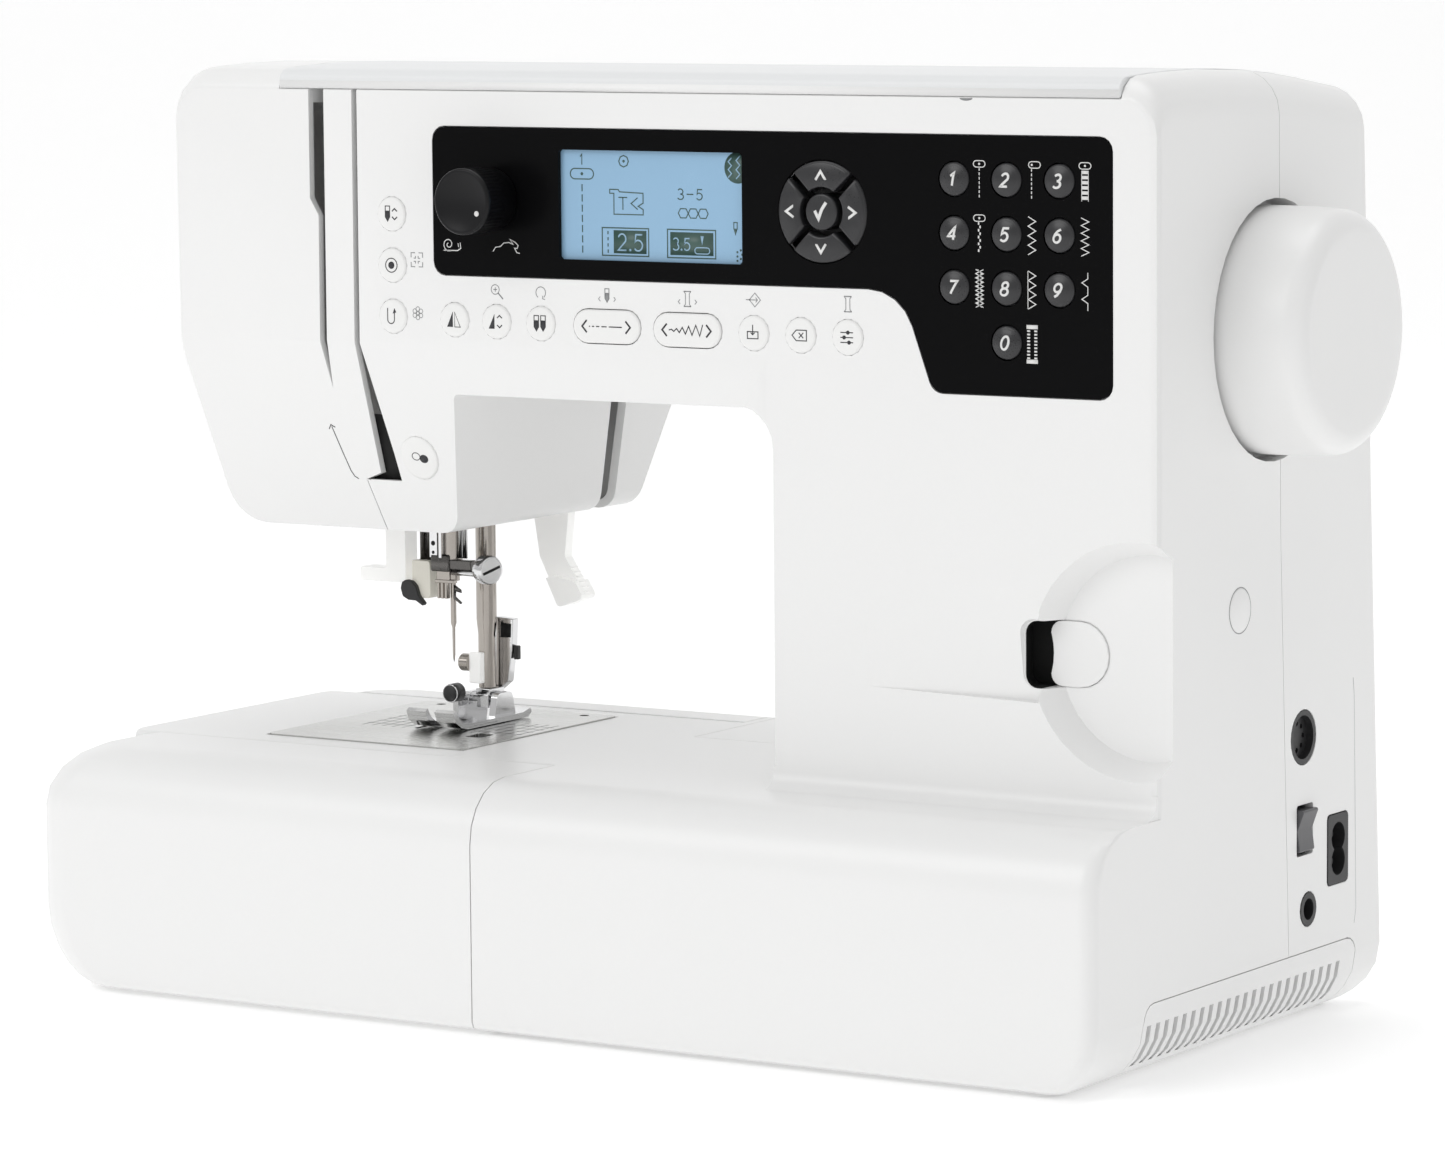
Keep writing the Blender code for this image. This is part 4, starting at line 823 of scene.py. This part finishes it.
def display_marks():
    """What the display shows: a stitch, its number, and its length and width in two boxes."""
    front = span("lcd_screen")[0].y
    left, bottom = 190.8, 238.0
    dark = Ink(front_face(front)).move(left, bottom)
    light = Ink(front_face(front - INK)).move(left, bottom)
    numeral(dark, "1", 6.7, 29.2, 1.5, 3.3, 0.34)
    dark.line(stadium(7.6, 26.4, 4.3, 3.2, 8), 0.36, True)
    dark.disc((7.6, 26.4), 0.5, 12)
    dark.lines([[(7.6, 23.2 - 3.15 * k), (7.6, 21.0 - 3.15 * k)] for k in range(7)], 0.38)
    dark.ring((23.0, 30.5), 1.75, 0.36, 8)
    dark.disc((23.0, 30.5), 0.45, 12)
    dark.move(left + 23.0, bottom + 14.2)
    shirt = [(-5.2, 7.6), (-5.2, 6.4), (-3.7, 6.4), (-3.7, 0), (7.0, 0), (7.0, 1.6), (5.2, 2.6), (7.0, 3.6),
             (7.0, 6.6), (-1.6, 6.9), (-2.1, 7.6)]
    dark.line(shirt, 0.34, True)
    dark.lines([[(-2.0, 5.2), (1.2, 5.2)], [(-0.4, 5.2), (-0.4, 1.4)],
                [(5.0, 5.2), (2.6, 3.4), (5.0, 1.6)]], 0.34)
    dark.move(left, bottom)
    numeral(dark, "3", 42.6, 19.2, 2.2, 3.2, 0.36)
    numeral(dark, "5", 49.4, 19.2, 2.2, 3.2, 0.36)
    dark.line([(45.9, 20.8), (48.3, 20.8)], 0.36)
    for c in (44.6, 48.2, 51.8):
        dark.line([(c - 1.0, 16.4), (c - 1.8, 15.0), (c - 1.0, 13.6), (c + 1.0, 13.6), (c + 1.8, 15.0),
                   (c + 1.0, 16.4)], 0.32, True)
    dark.frame((14.9, 31.9), (1.5, 10.0), 0.38)
    dark.patch((19.1, 31.1), (2.2, 9.3))
    dark.lines([[(17.0, 9.0 - 1.9 * k), (17.0, 8.0 - 1.9 * k)] for k in range(4)], 0.4)
    numeral(light, "2", 20.6, 3.1, 3.2, 5.1, 0.5)
    light.disc((25.2, 3.3), 0.42, 12)
    numeral(light, "5", 26.6, 3.1, 3.2, 5.1, 0.5)
    dark.frame((38.8, 56.2), (1.4, 10.0), 0.38)
    dark.patch((39.8, 55.4), (2.2, 9.2))
    numeral(light, "3", 40.8, 3.7, 2.2, 3.7, 0.42)
    light.disc((43.9, 3.9), 0.36, 12)
    numeral(light, "5", 44.8, 3.7, 2.2, 3.7, 0.42)
    light.line(stadium(51.4, 3.7, 2.7, 1.9, 8), 0.34, True)
    light.area([(50.8, 8.2), (52.0, 8.2), (51.4, 5.4)])
    dark.move(left + 66.6, bottom)
    light.move(left + 66.6, bottom)
    dark.area(arc((-2.2, 29.2), 4.8, 62, 298, 30))
    light.line([(-4.4 - 1.2 * (k % 2), 32.2 - 1.2 * k) for k in range(6)], 0.36)
    light.line([(-1.4 - 1.4 * (k % 2), 32.8 - 1.4 * k) for k in range(6)], 0.36)
    dark.frame((-3.8, -2.6), (10.6, 12.6), 0.3)
    dark.area([(-3.8, 10.4), (-2.6, 10.4), (-3.2, 8.6)])
    for k in range(3):
        dark.disc((-1.4 + 0.5 * (k % 2), 4.2 - 1.3 * k), 0.36, 10)
        dark.disc((-2.6, 3.6 - 1.3 * k), 0.36, 10)
    dark.made("display_marks", "machine", "lcd_ink")
    light.made("display_light_marks", "machine", "lcd_clear")


# ---------------------------------------------------------------- other finer pieces


def block(low, high):
    """Points and faces of a plain box between two corners of the drawing frame."""
    ring = [(low[0], low[1]), (high[0], low[1]), (high[0], high[1]), (low[0], high[1])]
    return loft([[at(a, b, t) for a, b in ring] for t in (low[2], high[2])])


def display():
    """The display glass and, behind the panel, the dark board that carries it and the key contacts."""
    low, high = span("lcd_screen")
    glass = block((189.2, low.y, 236.6), (259.2, low.y + 2.2, 273.2))
    soft_piece("display_glass", glass, "machine", "lcd", 0.15, ("lcd_screen",))
    board = merged(block((196, low.y + 2.4, 242), (252, high.y - 1.6, 268)),
                   block((low.x, high.y - 1.4, low.z), (high.x, high.y, high.z)))
    soft_piece("control_board", board, "machine", "moulded_black", 0.15)


def handwheel():
    node = "handwheel"
    low, high = span(node)
    _, y, z = middle(node)
    radius = (high.y - low.y) / 2
    x = low.x
    profile = [(0, x), (9, x), (9, x + 2.6), (radius - 2.0, x + 2.6), (radius - 0.9, x + 2.9),
               (radius - 0.3, x + 3.9), (radius, x + 6), (radius - 0.05, x + 12), (radius - 0.2, x + 22),
               (radius - 0.6, x + 28.6)]
    profile += [(radius - 7.6 + 7.0 * math.cos(a), x + 28.6 + 6.9 * math.sin(a))
                for a in (math.radians(10 * k) for k in range(1, 10))]
    profile += [(radius - 12, x + 35.4), (0, x + 35.2)]
    verts, faces = revolve("X", (y, z), profile, 128)
    piece("handwheel_rim", verts, faces, body_of(node), "white_shell", (node,))


def needle_parts():
    """Needle bar with its clamp, guide and thumb screw, and the needle in it."""
    body = body_of("needle_bar")
    low, high = span("needle_bar")
    x, y, _ = middle("needle")
    screw_z = 131.4
    rod = [(0, high.z), (2.6, high.z), (3.2, high.z - 0.8), (3.2, 134), (2.2, 133.4), (2.2, 127), (0, 127)]
    bar = revolve("Z", (x, y), rod, 40)
    soft_piece("needle_bar_rod", bar, body, "nickel", 0.1, ("needle_bar",))
    left, right, back = low.x, x + 1.0, low.y + 3.4
    clamp = []
    for z, inset in ((130.2, 0.4), (130.6, 0.0), (135.3, 0.0), (135.7, 0.4)):
        corners = [(left + 0.8, low.y + 1.1, 180, 270), (right - 0.8, low.y + 1.1, 270, 360),
                   (right - 0.8, back, 0, 90), (left + 0.8, back, 90, 180)]
        ring = []
        for a, b, start, end in corners:
            ring += arc((a, b), 0.8 - inset, start, end, 5)
        clamp.append([at(a, b, z) for a, b in ring])
    piece("needle_clamp", *loft(clamp), body, "dark_nickel")
    fins = [block((x - 4.2 + 1.5 * k, low.y + 1.3, 121.2), (x - 3.4 + 1.5 * k, y - 1.2, 126.6))
            for k in range(3)]
    fins.append(block((x - 5.0, low.y + 1.1, 126.4), (x + 2.4, y - 1.0, 127.4)))
    fins.append(block((x - 4.6, low.y + 1.6, 127.2), (x + 0.6, y - 1.4, 130.4)))
    soft_piece("needle_guide", merged(*fins), body, "nickel", 0.12)
    hook = [(x + 1.3, 125.6), (x + 3.6, 124.2), (x + 3.9, 123.2), (x + 1.6, 123.6), (x + 1.4, 121.9),
            (x + 4.0, 119.9), (x + 3.6, 119.5), (x + 0.9, 121.2)]
    piece("needle_thread_hook", *prism("Y", hook, y - 1.2, y - 0.5), body, "dark_nickel")
    tip = high.x + 2.9
    thumb = [(0, tip - 5.4), (4.3, tip - 5.1), (4.8, tip - 4.3)]
    thumb += [(4.8, tip - 0.9), (4.4, tip - 0.3), (3.7, tip), (0, tip)]
    hub = block((right - 0.2, y - 3.4, 131.0), (x + 9.4, y - 0.2, 134.2))
    soft_piece("needle_clamp_block", hub, body, "dark_nickel", 0.3)
    shaft = [(0, right - 0.2), (1.0, right - 0.2), (1.0, tip - 4.4), (0, tip - 4.4)]
    piece("needle_clamp_shaft", *revolve("X", (y - 1.6, 129.9), shaft, 24), body, "bright_nickel")

    def knurl(k, radius, t):
        return -0.14 * (k % 2) if radius > 4.7 else 0.0

    pivot, turn = at(tip - 6, y - 1.0, 0), math.radians(-24)

    def swung(spot):
        """The screw's head looks a little forwards."""
        a, b = spot[0] - pivot[0], spot[1] - pivot[1]
        return (pivot[0] + a * math.cos(turn) - b * math.sin(turn),
                pivot[1] + a * math.sin(turn) + b * math.cos(turn), spot[2])

    verts, faces = revolve("X", (y, screw_z), thumb, 72, knurl)
    screw = ([swung(v) for v in verts], faces)
    soft_piece("needle_clamp_screw", screw, body, "bright_nickel", 0.08, angle=50)
    ink = Ink(lambda a, b, d: swung(at(tip + d, a, b)))
    ink.line([(y - 3.2, screw_z - 1.1), (y + 3.2, screw_z + 1.1)], 0.9)
    ink.made("needle_clamp_screw_slot", body, "black_gap")
    bracket = merged(block((98.5, y - 4.0, 134.7), (101.5, y - 2.4, 184)),
                     block((102.5, y - 4.6, 134.7), (103.6, y - 3.4, 184)))
    soft_piece("needle_bar_bracket", bracket, body, "bright_nickel", 0.15)
    ink = Ink(front_face(y - 4.0))
    ink.disc((100.0, 139.4), 0.8, 20)
    ink.disc((100.0, 136.4), 0.55, 20)
    ink.made("needle_bar_bracket_holes", body, "black_gap")
    rods = [revolve("Z", (x + shift, y - 1.2), [(0, 184), (0.85, 184), (0.85, 134.7), (0, 134.7)], 16)
            for shift in (3.9, 5.8)]
    piece("needle_bar_guide_rods", *merged(*rods), body, "bright_nickel")

    low, high = span("needle")
    shank, blade = 113.0, 0.5
    profile = [(0, high.z + 7.5), (0.95, high.z + 7.5), (0.95, shank), (blade, shank - 1.5),
               (0.45, 102.6), (0.3, 101.2), (0, low.z)]
    rod = revolve("Z", (x, y), profile, 32)
    soft_piece("needle_rod", rod, body_of("needle"), "nickel", 0.05, ("needle",))


def threader_parts():
    """The threader's rods, its cream block and its black hooked lever."""
    body = body_of("needle_threader")
    low, high = span("needle_threader")
    x, y = 94.6, low.y + 5.2
    rods = [revolve("Z", (x + shift, y), [(0, high.z), (1.15, high.z), (1.15, 133), (0, 133)], 20)
            for shift in (-1.25, 1.25)]
    piece("needle_threader_rods", *merged(*rods), body, "dark_nickel", ("needle_threader",))
    shape = [(91.3, 133.4), (91, 133.1), (91, 124), (92.8, 121.3), (93.2, 121), (97.4, 121), (98.2, 121.8),
             (98.2, 132.6), (97.6, 133.4)]
    soft_piece("needle_threader_block", prism("Y", shape, y - 3.5, y + 3.5), body, "clip", 0.4)
    shape = [(87.4, 124.0), (87.9, 126.1), (89.6, 127.0), (91.9, 126.6), (93.5, 125.0), (94.6, 121.9),
             (96.8, 119.4), (96.1, 118.6), (93.4, 120.2), (90.4, 120.3), (88.2, 121.4)]
    lever = prism("Y", shape, low.y, y - 3.1)
    soft_piece("needle_threader_lever", lever, body, "moulded_black", 0.35)


def presser_parts():
    """Presser bar, the foot's lock button, and the holder's clip, screw, ankle and release lever."""
    body = body_of("presser_bar")
    _, high = span("presser_bar")
    x, y, _ = middle("presser_bar")
    profile = [(0, high.z), (3.1, high.z), (3.4, high.z - 0.3), (3.4, 112.4), (2.9, 107.4), (2.9, 89.6),
               (0, 89.6)]
    bar = revolve("Z", (x, y), profile, 48)
    soft_piece("presser_bar_rod", bar, body, "nickel", 0.15, ("presser_bar",))
    button_x, button_z, front = 99.2, 88.6, 108.2
    button = [(0, front), (2.3, front + 0.1), (2.9, front + 0.5), (3.1, front + 1.1), (3.1, front + 5.0),
              (0, front + 5.0)]
    piece("presser_foot_button", *revolve("Y", (button_x, button_z), button, 36), body, "moulded_black")
    clip = block((101.3, y - 5.4, 91.3), (105.9, y - 2.7, 101.5))
    soft_piece("foot_holder_clip", clip, body, "lever", 0.35)
    screw = [(0, 97.6), (2.4, 97.6), (2.9, 98.2), (2.9, 101.4), (0, 101.4)]
    screw = revolve("X", (y - 4.0, 98.0), screw, 36)
    soft_piece("foot_holder_screw", screw, body, "nickel", 0.1)
    front, back = y + 4.2, y + 7.6
    plate = [(105.0, 88.4), (106.6, 88.2), (110.4, 91.2), (112.0, 102), (112.6, 112.2), (105.8, 112.6),
             (105.4, 96)]
    base = merged(block((103.0, y - 4.0, 87.4), (108.6, front + 0.4, 89.5)),
                  block((103.4, y - 4.0, 83.2), (108.0, y + 4.0, 87.6)))
    shank = merged(prism("Y", plate, front, back), base)
    soft_piece("foot_holder_ankle", shank, body, "bright_nickel", 0.25, ("foot_holder",))
    ink = Ink(front_face(front))
    ink.area([(107.6, 105.8), (111.7, 106.0), (111.9, 110.6), (107.7, 110.8)])
    ink.made("release_lever_window", body, "black_gap")
    tab = block((112.0, front + 1.0, 98.6), (113.8, back - 0.6, 103.2))
    soft_piece("release_lever_tab", tab, body, "moulded_black", 0.3)


def lifter_ribs():
    """Finger ribs across the sloping face of the lifter's tab."""
    top, tip = Vector((122.8, 132.0)), Vector((131.4, 118.6))
    along = (tip - top).normalized()
    out = Vector((-along.y, along.x))
    ribs = []
    for k in range(6):
        spot = top.lerp(tip, 0.28 + 0.115 * k)
        shape = [spot - along * 0.42 - out * 0.1, spot + along * 0.42 - out * 0.1,
                 spot + along * 0.22 + out * 0.4, spot - along * 0.22 + out * 0.4]
        ribs.append(prism("Y", shape, 142.5, 146.1))
    piece("presser_foot_lifter_ribs", *merged(*ribs), body_of("presser_foot_lifter"), "lever")


def reverse_key():
    """The round key on the sloping face, a close fit in its hole."""
    node = "reverse_key"
    x, _, z = middle(node)
    back = span(node)[1].y
    radius, edge = 7.02, 0.7
    rings = []
    for k in range(7):
        angle = math.radians(15 * k)
        inset, depth = edge * (1 - math.sin(angle)), edge * (1 - math.cos(angle))
        ring = []
        for a, b in arc((x, z), radius - inset, 0, 360 - 7.5, 47):
            ring.append(at(a, FACE_Y + FACET_SLOPE * (CREASE_Z - b) - REVERSE_KEY_PROUD + depth, b))
        rings.append(ring)
    rings.append([at(a, back, b) for a, b in arc((x, z), radius, 0, 360 - 7.5, 47)])
    piece("reverse_key_cap", *loft(rings), body_of(node), "white_key", (node,))


def slider_parts():
    """The slider's white flange, a black sheet of painted shade behind its slot, a black liner of painted
    shade on the slot's left wall, and the slot's rim.
    """
    low, high = span("drop_feed_slider")
    wall_back = 52.5
    flange = block((low.x + 2.0, wall_back + 0.1, low.z - 1.6), (high.x + 2.6, wall_back + 0.7, high.z + 1.6))
    soft_piece("slider_flange", flange, body_of("drop_feed_slider"), "white_shell", 0.1)
    # Painted shade: a black sheet behind the slot, standing in for the shade inside the casing.
    plate = block((348, wall_back + 1.0, low.z - 4), (384, wall_back + 1.6, high.z + 4))
    soft_piece("slider_slot_painted_shade", plate, "machine", "black_gap", 0.1)
    bottom, top = low.z - 0.32, high.z + 0.32

    def lip(end, start, corner, thick, way, steps):
        """A thin wall round one end of the slot; way is 1 at the right end and -1 at the left."""
        rims = []
        for thin in (0.02, thick):
            rim = [(start, bottom + thin)]
            rim += arc((end - way * corner, bottom + corner), corner - thin, 270, 270 + way * 90, steps)
            rim += arc((end - way * corner, top - corner), corner - thin, 90 - way * 90, 90, steps)
            rims.append(rim + [(start, top - thin)])
        return rims[0] + rims[1][::-1]

    # Painted shade: a black liner over the slot's left wall, which would otherwise show white in shade.
    liner = prism("Y", lip(351.0, low.x - 0.2, 4.0, 0.16, -1, 8), 43.5, wall_back - 0.2)
    piece("slider_slot_wall_painted_shade", *liner, "machine", "black_gap")
    rim = prism("Y", lip(high.x + 0.32, low.x + 1.5, 9.9, 0.22, 1, 16), 49.62, wall_back - 0.2)
    piece("slider_slot_rim", *rim, "machine", "white_shell")


def lid_edge():
    """White strip along the lid's front edge, partly painted highlight where the rounded edge catches the
    light, and the finger notch below it, a grey patch of painted shade.
    """
    low, high = span("top_lid")
    bottom = 289.75
    shape = [(FACE_Y - 0.06, bottom), (FACE_Y - 0.06, 292.0), (FACE_Y + 0.1, 292.6), (FACE_Y + 0.5, 292.9),
             (FACE_Y + 0.5, bottom)]
    # A white strip on the grey lid: partly painted highlight along its rounded front edge.
    piece("lid_front_edge_painted_highlight", *prism("X", shape, low.x + 0.2, high.x - 0.2), body_of("top_lid"), "white_shell")
    # The finger notch is only a flat grey patch: painted shade of the recess.
    ink = Ink(front_face(FACE_Y))
    notch = arc((336, 289.2), 2.2, 180, 360, 10)
    ink.area([(a, 289.2 + (b - 289.2) * 0.35) for a, b in notch])
    ink.made("lid_notch_painted_shade", "machine", "grey_ink")


def slot_liner():
    """Black sheet of painted shade behind the lower end of the thread slot, standing in for the shade inside
    the head.
    """
    gap = 3.1
    shape = [(FACE_Y + FACET_SLOPE * (CREASE_Z - z) + gap + more, z) for z, more in ((161, 0), (186, 0))]
    shape += [(FACE_Y + FACET_SLOPE * (CREASE_Z - z) + gap + 0.8, z) for z in (186, 161)]
    # Painted shade: a black sheet where the head's white inside would show in shade.
    piece("thread_slot_painted_shade", *prism("X", shape, 103.5, 122.5), "machine", "black_gap")


def cover_latch():
    """Black latch of the bobbin cover, in the square notch of the needle plate."""
    top = span("needle_plate")[1].z - 0.6
    latch = merged(block((122.0, 84.4, top - 2.0), (127.8, 92.6, top - 0.3)),
                   block((123.4, 86.6, top - 0.4), (126.4, 90.4, top)))
    soft_piece("bobbin_cover_latch", latch, "machine", "moulded_black", 0.2)


def back_screws():
    """Case screws, recessed in the back."""
    lean, upright, deep = 0.0519, 20.0, 190.0

    def back_face(a, b, d):
        return at(a, deep - lean * max(b - upright, 0.0) + d, b)

    gap, head = Ink(back_face), Ink(back_face)
    for x, z in ((196, 28), (380, 28), (380, 150), (286, 180), (292, 268), (70, 262), (110, 214)):
        gap.ring((x, z), 3.4, 0.5, 36)
        head.ring((x, z), 1.6, 1.9, 28)
        for turn in (20, 110):
            c, k = 1.5 * math.cos(math.radians(turn)), 1.5 * math.sin(math.radians(turn))
            gap.line([(x - c, z - k), (x + c, z + k)], 0.55)
    gap.made("back_screw_gaps", "machine", "black_gap")
    head.made("back_screw_heads", "machine", "bright_nickel")


def side_details():
    """A moulded plug cap and the shallow frame round the sockets, on the right side."""
    cap = [(6.7, SIDE_X - 0.4), (6.7, SIDE_X + 0.1), (6.4, SIDE_X + 0.22), (0, SIDE_X + 0.25)]
    verts, faces = revolve("X", (92.2, 135), [(0, SIDE_X - 0.4)] + cap, 56)
    piece("side_plug", verts, faces, "machine", "white_shell")
    ink = Ink(side_face)
    ink.ring((92.2, 135), 6.95, 0.28, 56)
    ink.made("side_plug_gap", "machine", "grey_ink")
    ink = Ink(side_face)
    ink.line([(168.4, 106), (169.2, 100), (170.8, 33), (169.6, 28.5)], 0.3)
    ink.made("socket_panel_edge", "machine", "pale_ink")


def plate_lines():
    """Seam guide lines etched in the needle plate."""
    top = span("needle_plate")[1].z
    ink = Ink(lambda a, b, d: at(a, b, top + d * 0.4))
    for k in range(5):
        x = 118.5 + 4.0 * k
        ink.line([(x, 92), (x, 120)], 0.28)
        x = 91.5 - 4.0 * k
        ink.line([(x, 92), (x, 120)], 0.28)
    ink.lines([[(116.5, 97 + 6 * k), (136, 97 + 6 * k)] for k in range(4)], 0.22)
    ink.lines([[(74, 97 + 6 * k), (93.5, 97 + 6 * k)] for k in range(4)], 0.22)
    ink.made("plate_lines", "machine", "black_gap")


# ---------------------------------------------------------------- CAD nodes, stage, camera


def dress_nodes():
    slots = {row["node"]: row["material_slot"] for row in frame["record"]["subparts"]}
    widths = {"front_casing": 0.35, "rear_casing": 0.35, "face_cover": 0.35, "extension_table": 0.35,
              "top_lid": 0.35, "bottom_tray": 0.3, "control_panel": 0.12, "needle_plate": 0.12}
    for name, node in NODES.items():
        look = OWN_LOOK.get(name, NODE_LOOK[slots[name]])
        node.data.materials.clear()
        node.data.materials.append(LOOKS[look])
        if not node.hide_render:
            soften(node, widths.get(name, 0.2))


def floor():
    """White floor that bends up into a wall, far behind the machine as the camera sees it."""
    made = bpy.data.materials.new("floor_white")
    made.use_nodes = True
    shader = made.node_tree.nodes["Principled BSDF"]
    noise = add(made.node_tree, "ShaderNodeTexNoise", Scale=3.0, Detail=2.0)
    spread = add(made.node_tree, "ShaderNodeMapRange", To_Min=0.55, To_Max=0.62)
    made.node_tree.links.new(noise.outputs["Fac"], spread.inputs["Value"])
    made.node_tree.links.new(spread.outputs["Result"], shader.inputs["Roughness"])
    shader.inputs["Base Color"].default_value = (0.92, 0.92, 0.92, 1)
    shader.inputs["Emission Color"].default_value = (1, 1, 1, 1)
    shader.inputs["Emission Strength"].default_value = 0.27
    shader.inputs["Specular IOR Level"].default_value = 0.1
    front, back, radius, height, half = 4.0, 2.2, 1.2, 3.0, 6.0
    section = [(-front, 0.0), (back, 0.0)]
    section += [(back + radius * math.sin(a), radius - radius * math.cos(a))
                for a in (math.radians(6 * k) for k in range(1, 16))]
    section.append((back + radius, height))
    verts = [Vector((x, y, z)) for y, z in section for x in (-half, half)]
    faces = [(2 * k, 2 * k + 1, 2 * k + 3, 2 * k + 2) for k in range(len(section) - 1)]
    mesh = bpy.data.meshes.new("sweep")
    turn = Matrix.Rotation(math.radians(32.4), 4, "Z")
    mesh.from_pydata([tuple(turn @ v) for v in verts], [], faces)
    for polygon in mesh.polygons:
        polygon.use_smooth = True
    obj = bpy.data.objects.new("sweep", mesh)
    bpy.context.scene.collection.objects.link(obj)
    mesh.materials.append(made)


def area_light(name, place, target, size, power, tint=(1, 1, 1)):
    data = bpy.data.lights.new(name, "AREA")
    data.shape = "RECTANGLE"
    data.size, data.size_y = size
    data.energy = power
    data.color = tint
    obj = bpy.data.objects.new(name, data)
    bpy.context.scene.collection.objects.link(obj)
    obj.location = place
    obj.rotation_mode = "QUATERNION"
    obj.rotation_quaternion = (Vector(target) - Vector(place)).to_track_quat("-Z", "Y")


def light():
    world = bpy.data.worlds.new("studio")
    bpy.context.scene.world = world
    world.use_nodes = True
    background = world.node_tree.nodes["Background"]
    background.inputs["Color"].default_value = (1, 1, 1, 1)
    background.inputs["Strength"].default_value = 0.58
    area_light("key", (-0.9, -2.0, 1.6), (0, 0, 0.15), (1.6, 1.2), 15)
    area_light("fill", (2.2, -0.9, 1.0), (0, 0, 0.15), (1.2, 1.2), 0.8)
    area_light("top", (0.1, 0.3, 2.4), (0, 0, 0.1), (1.8, 1.4), 14)
    scene = bpy.context.scene
    scene.view_settings.view_transform = "Standard"
    scene.view_settings.look = "None"
    scene.view_settings.exposure = 0.0
    scene.view_settings.gamma = 1.0


def camera():
    azimuth, elevation, roll = (math.radians(a) for a in (32.41, 6.57, -0.49))
    back = Vector((math.sin(azimuth) * math.cos(elevation), -math.cos(azimuth) * math.cos(elevation),
                   math.sin(elevation)))
    right = Vector((0, 0, 1)).cross(back).normalized()
    up = back.cross(right)
    tilted_right = math.cos(roll) * right + math.sin(roll) * up
    tilted_up = math.cos(roll) * up - math.sin(roll) * right
    data = bpy.data.cameras.new("camera")
    data.lens = 148.82
    data.sensor_width = 36.0
    data.clip_end = 50.0
    obj = bpy.data.objects.new("camera", data)
    bpy.context.scene.collection.objects.link(obj)
    turn = Matrix((tilted_right, tilted_up, back)).transposed().to_4x4()
    obj.matrix_world = Matrix.Translation(at(1221.7, -1491.3, 349.5)) @ turn
    bpy.context.scene.camera = obj


camera()
light()
floor()
number_keys()
arrow_keys()
knob()
white_key_marks()
pill_key_marks()
casing_marks()
panel_marks()
display_marks()
handwheel()
display()
needle_parts()
threader_parts()
presser_parts()
lifter_ribs()
reverse_key()
slider_parts()
lid_edge()
slot_liner()
cover_latch()
back_screws()
side_details()
plate_lines()
dress_nodes()
